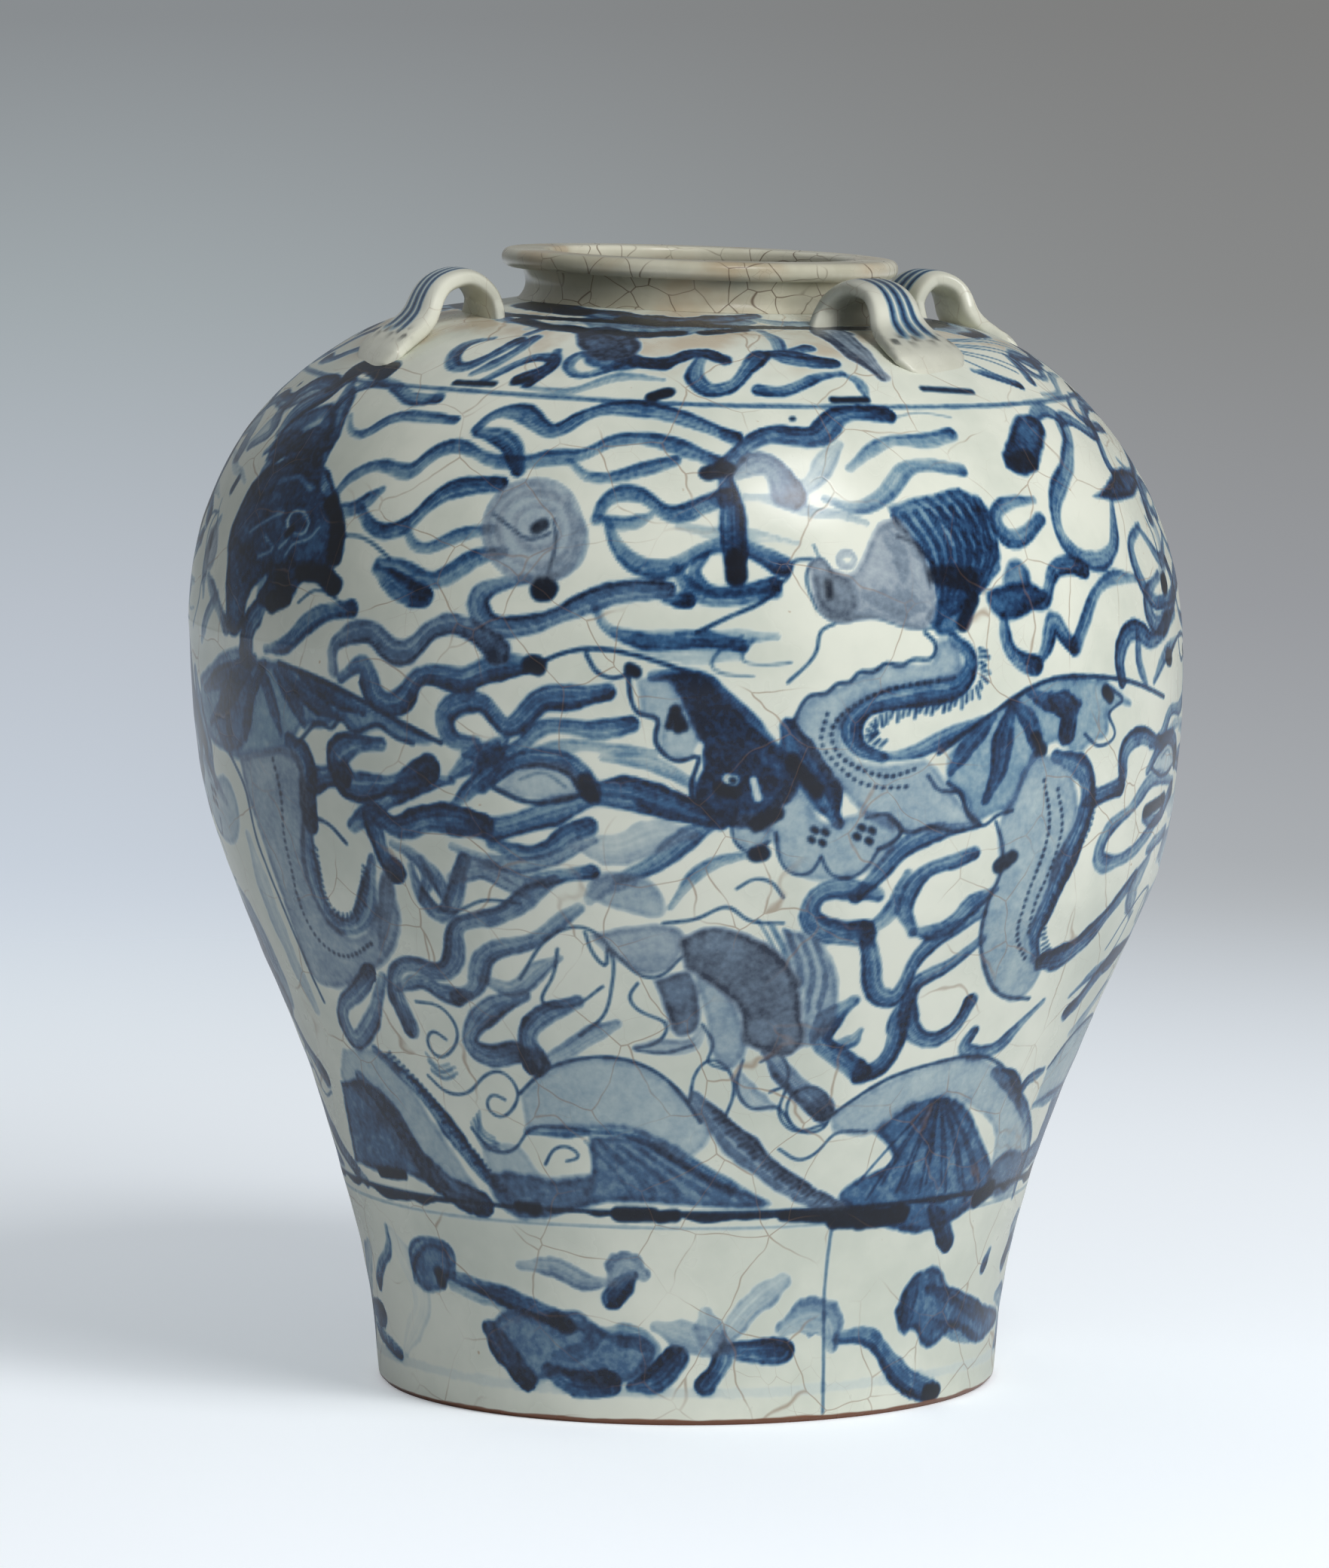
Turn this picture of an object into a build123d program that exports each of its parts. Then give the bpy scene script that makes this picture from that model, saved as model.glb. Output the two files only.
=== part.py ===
"""A blue-and-white storage jar with four tie lugs, built from its thrown sections and pressed straps.

The jar is made the way the potter made it. A base slab is set inside the foot of a thrown lower body.
A separately thrown upper body is luted onto it at the widest girth, on a tongue, and it slumped a little
to one side in the kiln, so everything above that joint leans. The shoulder carries a short collar with a
rolled lip, and four straps bent into loops, through which a cord ties a cover over the mouth.

Millimetres, +Z up. The origin is on the ground at the centre of the foot. The front faces -Y, and an
azimuth is measured from the front towards +X.
"""

import math
import os

from build123d import *

# Outer outline: how far each ring stands out from the ring below it, and its rise above that ring
foot_radius = 94.0
foot_bevel = 1.5
foot_band_spread = 1.8
foot_band_rise = 20.0
waist_spread = 8.8
waist_rise = 41.0
flare_spread = 19.8
flare_rise = 56.0
haunch_spread = 18.6
haunch_rise = 46.0
belly_spread = 7.6
belly_rise = 65.0
shoulder_draw_in = 8.2
shoulder_rise = 41.0
crown_draw_in = 31.4
crown_rise = 40.0
terrace_draw_in = 23.0
terrace_rise = 12.0
collar_root_rise = 6.2

# The slump of the upper body, in degrees towards +X
upper_lean = 2.0

# Wall, measured square to the outer face
foot_wall = 12.0
body_wall = 8.0
crown_wall = 7.0

# Base slab and foot ring
foot_ring_width = 13.5
base_recess = 3.0
base_thickness = 11.0

# Luting tongue at the girth joint
tongue_width = 3.0
tongue_height = 4.0

# Collar and lip: the bore, and how far each ring stands out from it
mouth_radius = 46.0
collar_root_wall = 9.0
collar_waist_wall = 6.6
collar_top_wall = 8.2
collar_height = 9.6
lip_overhang = 14.0
lip_height = 5.6
lip_round_share = 0.46
lip_inner_round_share = 0.3

# Lug straps: each is a little longer or shorter and more or less askew, as they were pressed on by hand.
# An inner root stands this share of the way from the collar's root out to the terrace.
lug_seats = {
    "lug_front_left": {"azimuth": -59.0, "turn": -9.0, "root_share": 0.606, "reach": 36.0},
    "lug_front_right": {"azimuth": 42.0, "turn": 8.0, "root_share": 0.348, "reach": 37.5},
    "lug_rear_right": {"azimuth": 117.0, "turn": 0.0, "root_share": 0.455, "reach": 36.0},
    "lug_rear_left": {"azimuth": 208.0, "turn": 4.0, "root_share": 0.485, "reach": 36.0},
}
lug_turning_set_in = 8.0
lug_crest_height = 12.6
lug_width = 20.0
lug_thickness = 5.7
lug_corner_share = 0.42
# Along the strap, from its inner root over the crest to its outer tail: share of the reach, share of the crest
lug_path_shares = (
    (0.00, -0.20),
    (0.00, 0.30),
    (0.09, 0.74),
    (0.20, 0.96),
    (0.31, 1.00),
    (0.42, 0.93),
    (0.50, 0.68),
    (0.55, 0.39),
    (0.67, 0.16),
    (0.86, 0.05),
    (1.00, -0.28),
)
# At stations along the path: share of the path, of the strap's width and of its thickness
lug_section_shares = (
    (0.00, 1.60, 1.00),
    (0.12, 1.24, 0.94),
    (0.28, 1.00, 0.98),
    (0.42, 0.95, 1.02),
    (0.55, 1.06, 1.06),
    (0.67, 1.30, 1.08),
    (0.80, 1.56, 1.00),
    (0.91, 1.58, 0.86),
    (1.00, 1.30, 0.60),
)

# How finely the inner face follows the outer one
inner_steps = 9

# Radii of the rings, worked out from the spreads
foot_band_radius = foot_radius + foot_band_spread
waist_radius = foot_band_radius + waist_spread
flare_radius = waist_radius + flare_spread
haunch_radius = flare_radius + haunch_spread
belly_radius = haunch_radius + belly_spread
shoulder_radius = belly_radius - shoulder_draw_in
crown_radius = shoulder_radius - crown_draw_in
terrace_radius = crown_radius - terrace_draw_in
collar_root_radius = mouth_radius + collar_root_wall
collar_waist_radius = mouth_radius + collar_waist_wall
collar_top_radius = mouth_radius + collar_top_wall
lip_radius = mouth_radius + lip_overhang

# Heights above the ground, worked out from the rises
foot_band_height = foot_band_rise
waist_height = foot_band_height + waist_rise
flare_height = waist_height + flare_rise
haunch_height = flare_height + haunch_rise
girth_height = haunch_height + belly_rise
slab_top = base_recess + base_thickness
slab_radius = foot_radius - foot_ring_width

# Heights above the girth joint, along the leaning axis
shoulder_height = shoulder_rise
crown_height = shoulder_height + crown_rise
terrace_height = crown_height + terrace_rise
seat_height = terrace_height + collar_root_rise
lip_seat_height = seat_height + collar_height

# The leaning frame of everything above the girth joint
girth_plane = Plane.XY.offset(girth_height).rotated((0, upper_lean, 0))
lean_axis = Axis(girth_plane.origin, girth_plane.z_dir)
# The lower wall runs straight up past the girth by this much, to be cut off along the leaning joint
joint_allowance = belly_radius * math.tan(math.radians(upper_lean)) + tongue_height


def radial_plane(base, azimuth):
    """The half plane at an azimuth round base's axis: local X runs outwards, and local Y up the axis."""
    turn = math.radians(azimuth)
    outward = base.x_dir * math.sin(turn) - base.y_dir * math.cos(turn)
    return Plane(origin=base.origin, x_dir=outward, z_dir=outward.cross(base.z_dir))


def wall_between(height, low, high, low_wall, high_wall):
    """The wall at a height, changing evenly from one wall to another."""
    share = min(max((height - low) / (high - low), 0), 1)
    return low_wall + (high_wall - low_wall) * share


def offset_inwards(outline, walls):
    """Points set in from an outline, which runs upwards, by a wall at each even step along it."""
    points = []
    for step, wall in enumerate(walls):
        along = step / (len(walls) - 1)
        place = outline @ along
        tangent = outline % along
        points.append(place + Vector(-tangent.Y, tangent.X) * wall)
    return points


def height_at(outline, radius):
    """The height of the shoulder's outer face at a radius, which shrinks all the way up the outline."""
    low, high = 0.0, 1.0
    for _ in range(40):
        middle = (low + high) / 2
        if (outline @ middle).X > radius:
            low = middle
        else:
            high = middle
    return (outline @ low).Y


# Lower outline, from the foot's bevel to the girth
with BuildLine() as lower_line:
    lower_outline = Spline(
        (foot_radius, foot_bevel),
        (foot_band_radius, foot_band_height),
        (waist_radius, waist_height),
        (flare_radius, flare_height),
        (haunch_radius, haunch_height),
        (belly_radius, girth_height),
        tangents=((foot_band_radius - foot_radius, foot_band_height - foot_bevel), (0, 1)),
    )

# Upper outline, from the girth to the collar's root, with heights above the girth
with BuildLine() as upper_line:
    upper_outline = Spline(
        (belly_radius, 0),
        (shoulder_radius, shoulder_height),
        (crown_radius, crown_height),
        (terrace_radius, terrace_height),
        (collar_root_radius, seat_height),
        tangents=((0, 1), (terrace_radius - collar_root_radius - collar_root_rise, -collar_root_rise)),
        tangent_scalars=(1, -1),
    )

# Lower body: the thrown lower half, with the ring of its foot and the tongue of the girth joint
lower_walls = [
    wall_between((lower_outline @ (step / inner_steps)).Y, slab_top, waist_height, foot_wall, body_wall)
    for step in range(inner_steps + 1)
]
lower_inner = [point for point in offset_inwards(lower_outline, lower_walls) if point.Y > slab_top]
inner_foot_radius = lower_inner[0].X - (lower_inner[0].Y - slab_top) * math.tan(
    math.atan2(lower_inner[1].X - lower_inner[0].X, lower_inner[1].Y - lower_inner[0].Y)
)
lower_inner_points = [Vector(inner_foot_radius, slab_top), *lower_inner[:-1]]
lower_inner_points.append(Vector(belly_radius - body_wall, girth_height))
tongue_middle = belly_radius - body_wall / 2

with BuildPart() as lower_body:
    with BuildSketch(radial_plane(Plane.XY, 90)):
        with BuildLine():
            add(lower_outline)
            Polyline(
                (belly_radius, girth_height),
                (belly_radius, girth_height + joint_allowance),
                (belly_radius - body_wall, girth_height + joint_allowance),
                (belly_radius - body_wall, girth_height),
            )
            Spline(*lower_inner_points)
            Polyline(
                (inner_foot_radius, slab_top),
                (slab_radius, slab_top),
                (slab_radius, 0),
                (foot_radius - foot_bevel, 0),
                (foot_radius, foot_bevel),
            )
        make_face()
    revolve(axis=Axis.Z)
    split(bisect_by=girth_plane, keep=Keep.BOTTOM)
    with BuildSketch(girth_plane):
        Circle(tongue_middle + tongue_width / 2)
        Circle(tongue_middle - tongue_width / 2, mode=Mode.SUBTRACT)
    extrude(amount=tongue_height)
lower_body.part.label = "lower_body"

# Base slab: the disc set into the foot, a little above the ground
with BuildPart() as base_slab:
    with BuildSketch(Plane.XY.offset(base_recess)):
        Circle(slab_radius)
    extrude(amount=base_thickness)
base_slab.part.label = "base_slab"

# Upper body: the thrown upper half, closed in over the shoulder to the collar's seat
upper_walls = [
    wall_between((upper_outline @ (step / inner_steps)).Y, 0, crown_height, body_wall, crown_wall)
    for step in range(inner_steps + 1)
]
upper_inner_points = offset_inwards(upper_outline, upper_walls)[:-1]
upper_inner_points[0] = Vector(belly_radius - body_wall, 0)
upper_inner_points.append(Vector(mouth_radius, seat_height - crown_wall))

with BuildPart() as upper_body:
    with BuildSketch(radial_plane(girth_plane, 90)):
        with BuildLine():
            add(upper_outline)
            Polyline(
                (collar_root_radius, seat_height),
                (mouth_radius, seat_height),
                (mouth_radius, seat_height - crown_wall),
            )
            Spline(*upper_inner_points)
            Line((belly_radius - body_wall, 0), (belly_radius, 0))
        make_face()
    revolve(axis=lean_axis)
    with BuildSketch(girth_plane):
        Circle(tongue_middle + tongue_width / 2)
        Circle(tongue_middle - tongue_width / 2, mode=Mode.SUBTRACT)
    extrude(amount=tongue_height, mode=Mode.SUBTRACT)
upper_body.part.label = "upper_body"

# Collar: the short upright neck, a little waisted
with BuildPart() as neck_collar:
    with BuildSketch(radial_plane(girth_plane, 90)):
        with BuildLine():
            ThreePointArc(
                (collar_root_radius, seat_height),
                (collar_waist_radius, seat_height + collar_height / 2),
                (collar_top_radius, lip_seat_height),
            )
            Polyline(
                (collar_top_radius, lip_seat_height),
                (mouth_radius, lip_seat_height),
                (mouth_radius, seat_height),
                (collar_root_radius, seat_height),
            )
        make_face()
    revolve(axis=lean_axis)
neck_collar.part.label = "neck_collar"

# Rolled lip: the coil turned out over the collar
with BuildPart() as rolled_lip:
    with BuildSketch(radial_plane(girth_plane, 90)) as lip_section:
        with Locations(((mouth_radius + lip_radius) / 2, lip_seat_height + lip_height / 2)):
            Rectangle(lip_radius - mouth_radius, lip_height)
        fillet(lip_section.vertices().sort_by(Axis.X)[2:], lip_height * lip_round_share)
        inner_edge = lip_section.vertices().sort_by(Axis.X)[:2].sort_by(Axis.Z)[-1]
        fillet(inner_edge, lip_height * lip_inner_round_share)
    revolve(axis=lean_axis)
rolled_lip.part.label = "rolled_lip"


def make_lug(name, azimuth, turn, root_share, reach):
    """One strap bent into a loop across the shoulder, both roots pressed onto the wall."""
    turning_radius = terrace_radius - lug_turning_set_in
    pivot = radial_plane(girth_plane, azimuth).x_dir * turning_radius
    turned = radial_plane(girth_plane, azimuth + turn)
    shift = pivot - turned.x_dir * turning_radius
    plane = Plane(origin=turned.origin + shift, x_dir=turned.x_dir, z_dir=turned.z_dir)
    inner_radius = collar_root_radius + (terrace_radius - collar_root_radius) * root_share
    places = []
    for reach_share, crest_share in lug_path_shares:
        outward = inner_radius + reach * reach_share
        radius = (shift + turned.x_dir * outward).length
        places.append((outward, height_at(upper_outline, radius) + lug_crest_height * crest_share))
    with BuildLine(plane) as path:
        Spline(*places)
    strap = path.edges()[0]
    with BuildPart() as lug:
        for along, width_share, thickness_share in lug_section_shares:
            across = Plane(origin=strap @ along, x_dir=plane.z_dir, z_dir=strap % along)
            thickness = lug_thickness * thickness_share
            with BuildSketch(across):
                RectangleRounded(lug_width * width_share, thickness, thickness * lug_corner_share)
        loft()
        add(upper_body.part, mode=Mode.SUBTRACT)
    lug.part.label = name
    return lug.part


pieces = [lower_body.part, base_slab.part, upper_body.part, neck_collar.part, rolled_lip.part]
pieces += [make_lug(name, **seat) for name, seat in lug_seats.items()]

os.makedirs("parts", exist_ok=True)
for piece in pieces:
    export_step(piece, f"parts/{piece.label}.step")
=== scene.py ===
"""Finish and staging of a tall blue-and-white storage jar with four tie lugs.

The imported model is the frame. The thrown wall, collar, lip and lugs are made again as dense pieces with the
slight unevenness of hand work, and the wall is painted stroke by stroke, as a potter's brush would go.
"""
import logging
import math
from dataclasses import dataclass, field
from enum import Enum

import bmesh
import bpy
import numpy as np
from mathutils import Matrix, Vector


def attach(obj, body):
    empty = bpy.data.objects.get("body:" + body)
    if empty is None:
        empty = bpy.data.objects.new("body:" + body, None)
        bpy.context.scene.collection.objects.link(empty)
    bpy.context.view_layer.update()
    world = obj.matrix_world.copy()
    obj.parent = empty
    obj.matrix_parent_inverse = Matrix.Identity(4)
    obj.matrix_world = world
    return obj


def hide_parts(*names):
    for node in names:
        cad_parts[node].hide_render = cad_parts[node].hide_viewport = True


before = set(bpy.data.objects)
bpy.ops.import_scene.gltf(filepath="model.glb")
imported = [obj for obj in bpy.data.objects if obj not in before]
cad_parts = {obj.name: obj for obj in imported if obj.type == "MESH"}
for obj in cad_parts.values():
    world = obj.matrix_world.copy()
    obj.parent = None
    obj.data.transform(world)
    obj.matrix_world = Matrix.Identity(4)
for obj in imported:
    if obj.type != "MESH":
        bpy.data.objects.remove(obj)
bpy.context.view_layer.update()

log = logging.getLogger("jar")
MM = 0.001
# Most of a noise's values lie between these two
NOISE_SPAN = (0.3, 0.7)
Value = float | tuple | bpy.types.NodeSocket


def to_linear(red: int, green: int, blue: int) -> tuple[float, float, float, float]:
    """A display colour, each channel 0 to 255, as the linear colour that shaders take."""
    shares = [c / 255 for c in (red, green, blue)]
    return (*[s / 12.92 if s <= 0.04045 else ((s + 0.055) / 1.055) ** 2.4 for s in shares], 1.0)


def smooth_step(low: float, high: float, value: np.ndarray) -> np.ndarray:
    """Zero below low, one above high, and an even curve between."""
    share = np.clip((value - low) / (high - low), 0, 1)
    return share * share * (3 - 2 * share)


def clamped_spline(points: list, start: tuple, end: tuple, steps: int) -> np.ndarray:
    """A smooth curve through points, with its direction given at both ends.

    Args:
        points: The places it passes through.
        start: Its direction at the first of them.
        end: Its direction at the last of them.
        steps: How many pieces each span is cut into.

    Returns:
        Its places, one row each.
    """
    knots = np.array(points, float)
    spans = np.linalg.norm(np.diff(knots, axis=0), axis=1)
    count = len(knots)
    matrix, right = np.eye(count), np.zeros_like(knots)
    right[0], right[-1] = np.array(start) / np.linalg.norm(start), np.array(end) / np.linalg.norm(end)
    for i in range(1, count - 1):
        before, after = spans[i - 1], spans[i]
        matrix[i, i - 1:i + 2] = after, 2 * (before + after), before
        right[i] = 3 * (after * (knots[i] - knots[i - 1]) / before + before * (knots[i + 1] - knots[i]) / after)
    slopes = np.linalg.solve(matrix, right)
    s = np.linspace(0, 1, steps, endpoint=False)[:, None]
    rows = []
    for i, span in enumerate(spans):
        rows.append((2 * s**3 - 3 * s**2 + 1) * knots[i] + (s**3 - 2 * s**2 + s) * span * slopes[i]
                    + (3 * s**2 - 2 * s**3) * knots[i + 1] + (s**3 - s**2) * span * slopes[i + 1])
    return np.vstack([*rows, knots[-1:]])


def run_lengths(places: np.ndarray) -> np.ndarray:
    """The length run along a line of places, up to each of them."""
    return np.concatenate([[0], np.cumsum(np.linalg.norm(np.diff(places, axis=0), axis=1))])


def resample(places: np.ndarray, at: np.ndarray) -> np.ndarray:
    """The places on a line at these lengths along it."""
    lengths = run_lengths(places)
    return np.stack([np.interp(at, lengths, places[:, k]) for k in range(places.shape[1])], axis=1)


def soft_noise(size: tuple[int, int], cells: tuple[int, int], seed: int) -> np.ndarray:
    """Smooth random values from -1 to 1 on a grid that closes on itself across its columns.

    Args:
        size: Rows and columns.
        cells: How many lumps there are up and across.
        seed: Which set of values.

    Returns:
        The grid of values.
    """
    values = np.random.default_rng(seed).uniform(-1, 1, (cells[0] + 2, cells[1]))
    rows, columns = np.linspace(0, cells[0], size[0]), np.arange(size[1]) / size[1] * cells[1]
    i, j = rows.astype(int), columns.astype(int)
    a, b = [(3 - 2 * f) * f * f for f in ((rows - i)[:, None], (columns - j)[None, :])]
    here, there = j % cells[1], (j + 1) % cells[1]
    low = values[i][:, here] * (1 - b) + values[i][:, there] * b
    high = values[i + 1][:, here] * (1 - b) + values[i + 1][:, there] * b
    return (low * (1 - a) + high * a).astype(np.float32)


@dataclass(frozen=True)
class PhotoCamera:
    """The camera that sees the jar as the photograph does, in millimetres and the photograph's pixels."""

    focal: float = 11500.0
    frame_width: float = 1764.0
    frame_height: float = 2082.0
    distance: float = 2620.0
    height: float = 450.0
    pitch: float = 5.86
    aim_left: float = 29.0
    sensor: float = 36.0

    def turn(self) -> Matrix:
        """The camera's rotation."""
        return (Matrix.Rotation(math.atan(self.aim_left / self.focal), 3, "Z")
                @ Matrix.Rotation(math.radians(90 - self.pitch), 3, "X"))

    def project(self, places: np.ndarray) -> np.ndarray:
        """The pixels at which places are seen.

        Args:
            places: Places in millimetres, one row each.

        Returns:
            A column and a row of the photograph for each.
        """
        seen = (places - np.array([0, -self.distance, self.height])) @ np.array(self.turn())
        scale = -self.focal / seen[:, 2]
        column, row = self.frame_width / 2 + seen[:, 0] * scale, self.frame_height / 2 - seen[:, 1] * scale
        return np.stack([column, row], axis=1)

    def build(self) -> None:
        """Puts the camera into the scene."""
        data = bpy.data.cameras.new("photo_camera")
        data.sensor_width = self.sensor
        data.lens = self.focal / self.frame_height * self.sensor
        data.clip_start, data.clip_end = 0.05, 60
        camera = bpy.data.objects.new("photo_camera", data)
        camera.location = (0, -self.distance * MM, self.height * MM)
        camera.rotation_euler = self.turn().to_euler()
        bpy.context.scene.collection.objects.link(camera)
        bpy.context.scene.camera = camera


@dataclass
class JarForm:
    """The jar's outer form: its rings, the lean of its upper half and the drift of its wall, in millimetres."""

    foot_rings: tuple = ((94.0, 1.5), (95.8, 20.0), (104.6, 61.0), (124.4, 117.0), (143.0, 163.0), (150.6, 228.0))
    shoulder_rings: tuple = ((150.6, 228.0), (142.4, 269.0), (111.0, 309.0), (88.0, 321.0), (55.0, 327.2))
    foot_edge: tuple = (92.5, 0.0)
    foot_direction: tuple = (1.8, 18.5)
    crown_direction: tuple = (-26.8, 6.2)
    girth: float = 228.0
    lean: float = 2.0
    bend_height: float = 60.0
    # How far the real wall stands to the right of a true one, at heights above the ground
    drift: tuple = ((0, 0), (40, 0.1), (65, 0.3), (100, 1.5), (130, 1.8), (155, 2.4), (190, 0.5), (228, 0),
                    (262, -0.9), (294, -1.5), (308, -0.5), (316, 0), (400, 0))
    throwing_depth: float = 0.10
    throwing_pitches: tuple = (4.1, 2.3)
    hand_depth: float = 0.30
    hand_pitches: tuple = (37.0, 29.0, 17.0, 23.0)
    still_foot: float = 25.0
    still_crown: float = 40.0
    wall_foot: float = 12.0
    wall: float = 8.0
    outline: np.ndarray = field(init=False)
    lengths: np.ndarray = field(init=False)

    def __post_init__(self) -> None:
        """Works out the outline, upright and without lean."""
        lower = clamped_spline(list(self.foot_rings), self.foot_direction, (0, 1), 60)
        upper = clamped_spline(list(self.shoulder_rings), (0, 1), self.crown_direction, 60)
        self.outline = np.vstack([[self.foot_edge], lower, upper[1:]])
        self.lengths = run_lengths(self.outline)

    @property
    def total(self) -> float:
        """The outline's whole length."""
        return float(self.lengths[-1])

    def radius(self, along: np.ndarray) -> np.ndarray:
        """The radius at lengths along the outline."""
        return np.interp(along, self.lengths, self.outline[:, 0])

    def length_of(self, radius: np.ndarray, height: np.ndarray) -> np.ndarray:
        """Finds upright places on the outline, told apart by radius and height together.

        Args:
            radius: Their radii.
            height: Their heights.

        Returns:
            Their lengths along the outline.
        """
        split = int(np.argmax(self.outline[:, 1] >= self.girth - 1e-6))
        up, low = self.outline, height <= self.girth
        below = np.interp(radius + height, up[:split + 1].sum(axis=1), self.lengths[:split + 1])
        above = np.interp(height - radius, up[split:, 1] - up[split:, 0], self.lengths[split:])
        return np.where(low, below, above)

    def settle(self, places: np.ndarray, relief: np.ndarray | float = 0.0) -> np.ndarray:
        """Moves upright places to where the jar's lean, drift and hand-made wall put them.

        Args:
            places: Upright places in millimetres, one row each.
            relief: How far each stands out of the true wall.

        Returns:
            The places on the real wall.
        """
        x, y, z = places.T
        radius = np.maximum(np.hypot(x, y), 1e-9)
        grown = 1 + relief / radius
        x, y = x * grown, y * grown
        share = smooth_step(self.girth - self.bend_height, self.girth, z)
        lean = math.radians(self.lean)
        above = np.maximum(z - self.girth, 0)
        below = np.minimum(z, self.girth)
        moved = np.stack([
            np.where(z > self.girth, x * math.cos(lean), x) + above * math.sin(lean),
            y,
            below + above * math.cos(lean) - x * math.sin(lean) * share,
        ], axis=1)
        moved[:, 0] += np.interp(moved[:, 2], *np.array(self.drift).T)
        return moved

    def relief(self, degrees: np.ndarray, along: np.ndarray) -> np.ndarray:
        """How far the wall stands proud: throwing rings, and a hand's soft unevenness.

        Args:
            degrees: Azimuths from the front.
            along: Lengths along the outline.

        Returns:
            The relief there, in millimetres.
        """
        turn = np.radians(degrees)
        coarse, fine = self.throwing_pitches
        rings = np.sin(along / coarse + 0.8 * np.sin(turn + 1.0)) * 0.6 + np.sin(along / fine + turn) * 0.4
        first, second, third, fourth = [along / pitch for pitch in self.hand_pitches]
        hand = (np.sin(2 * turn + first + 0.6) + np.sin(3 * turn - second + 2.1)
                + 0.7 * np.sin(7 * turn + third) * np.sin(fourth + 0.4))
        fade = smooth_step(0, self.still_foot, along) * smooth_step(0, self.still_crown, self.total - along)
        return (rings * self.throwing_depth + hand * self.hand_depth / 2) * fade

    def outer(self, degrees: np.ndarray, along: np.ndarray) -> np.ndarray:
        """Finds places on the outer wall.

        Args:
            degrees: Azimuths from the front.
            along: Lengths along the outline.

        Returns:
            Their places in millimetres, one row each.
        """
        turn = np.radians(degrees)
        radius, height = self.radius(along), np.interp(along, self.lengths, self.outline[:, 1])
        upright = np.stack([radius * np.sin(turn), -radius * np.cos(turn), height], axis=1)
        return self.settle(upright, self.relief(degrees, along))

    def normals(self, degrees: np.ndarray, along: np.ndarray) -> np.ndarray:
        """Finds the outer wall's outward directions.

        Args:
            degrees: Azimuths from the front.
            along: Lengths along the outline.

        Returns:
            A direction of length one for each place.
        """
        a, b = self.outer(degrees + 0.15, along), self.outer(degrees - 0.15, along)
        c, d = self.outer(degrees, along + 0.4), self.outer(degrees, along - 0.4)
        out = np.cross(a - b, c - d)
        return out / np.maximum(np.linalg.norm(out, axis=1, keepdims=True), 1e-12)


class PhotoReader:
    """Finds the place on the wall that a pixel of the photograph shows."""

    widest = 96.0
    net_degrees = 1.0
    net_length = 2.0
    rounds = 4
    least_area = 0.5
    probe = 0.2
    longest_step = (1.2, 2.5)

    def __init__(self, form: JarForm, camera: PhotoCamera) -> None:
        """Lays a net over the side of the wall that faces the camera.

        Args:
            form: The jar's form.
            camera: The camera that the photograph was taken with.
        """
        self.form, self.camera = form, camera
        degrees, along = np.meshgrid(np.arange(-self.widest, self.widest + 0.1, self.net_degrees),
                                     np.arange(0, form.total, self.net_length))
        self.degrees, self.along = degrees.ravel(), along.ravel()
        places, out = form.outer(self.degrees, self.along), form.normals(self.degrees, self.along)
        to_camera = np.array([0, -camera.distance, camera.height]) - places
        facing = (out * to_camera).sum(axis=1) > 0
        self.degrees, self.along = self.degrees[facing], self.along[facing]
        self.pixels = camera.project(places[facing])

    def locate(self, pixels: np.ndarray) -> np.ndarray:
        """The azimuth in degrees and the length along the outline at each pixel.

        Args:
            pixels: Columns and rows of the photograph, one pair each.

        Returns:
            An azimuth and a length for each.
        """
        found = np.array([int(np.argmin(((self.pixels - p) ** 2).sum(axis=1))) for p in pixels])
        at = np.stack([self.degrees[found], self.along[found]], axis=1).astype(float)
        least, probe, (most_across, most_up) = self.least_area, self.probe, self.longest_step
        for _ in range(self.rounds):
            here = self.camera.project(self.form.outer(at[:, 0], at[:, 1]))
            across = (self.camera.project(self.form.outer(at[:, 0] + probe, at[:, 1])) - here) / probe
            up = (self.camera.project(self.form.outer(at[:, 0], at[:, 1] + probe)) - here) / probe
            miss = pixels - here
            area = across[:, 0] * up[:, 1] - across[:, 1] * up[:, 0]
            area = np.where(np.abs(area) < least, np.where(area < 0, -least, least), area)
            turned = (miss[:, 0] * up[:, 1] - miss[:, 1] * up[:, 0]) / area
            risen = (across[:, 0] * miss[:, 1] - across[:, 1] * miss[:, 0]) / area
            at[:, 0] += np.clip(turned, -most_across, most_across)
            at[:, 1] += np.clip(risen, -most_up, most_up)
            at[:, 1] = np.clip(at[:, 1], 0, self.form.total)
        return at


class Brush(Enum):
    """How a stroke is laid."""

    RIBBON = "a loaded brush: dark edges, a pooled end"
    STREAK = "an even brush with no pooled end"
    LINE = "the tip alone"
    WASH = "thin colour filling an outline"
    DAB = "a dark touch"
    FAN = "fine lines spread between two"
    DOTS = "dots along a line"
    SPINES = "a comb of short ticks along a line"
    # Besides bare and rubbed places, this also lifts paint for a painted highlight on the dark crest.
    WIPE_OR_HIGHLIGHT = "a place left bare or rubbed lighter"


@dataclass(frozen=True)
class Stroke:
    """One stroke of the decoration. Its places are pixels of the photograph, columns and rows in turn.

    Attributes:
        name: What it paints.
        brush: How it is laid.
        width: Its full width in millimetres, or for a fan the number of lines.
        strength: How much cobalt it carries, from 0 to 1.
        places: The pixels that it passes through.
        grey: How far the colour is greyed, from 0 to 1.
    """

    name: str
    brush: Brush
    width: float
    strength: float
    places: tuple
    grey: float = 0.0


def ribbon(name: str, width: float, *places: float, strength: float = 0.72, grey: float = 0.0) -> Stroke:
    """A loaded stroke that starts thin and ends in a pool."""
    return Stroke(name, Brush.RIBBON, width, strength, places, grey)


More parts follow.
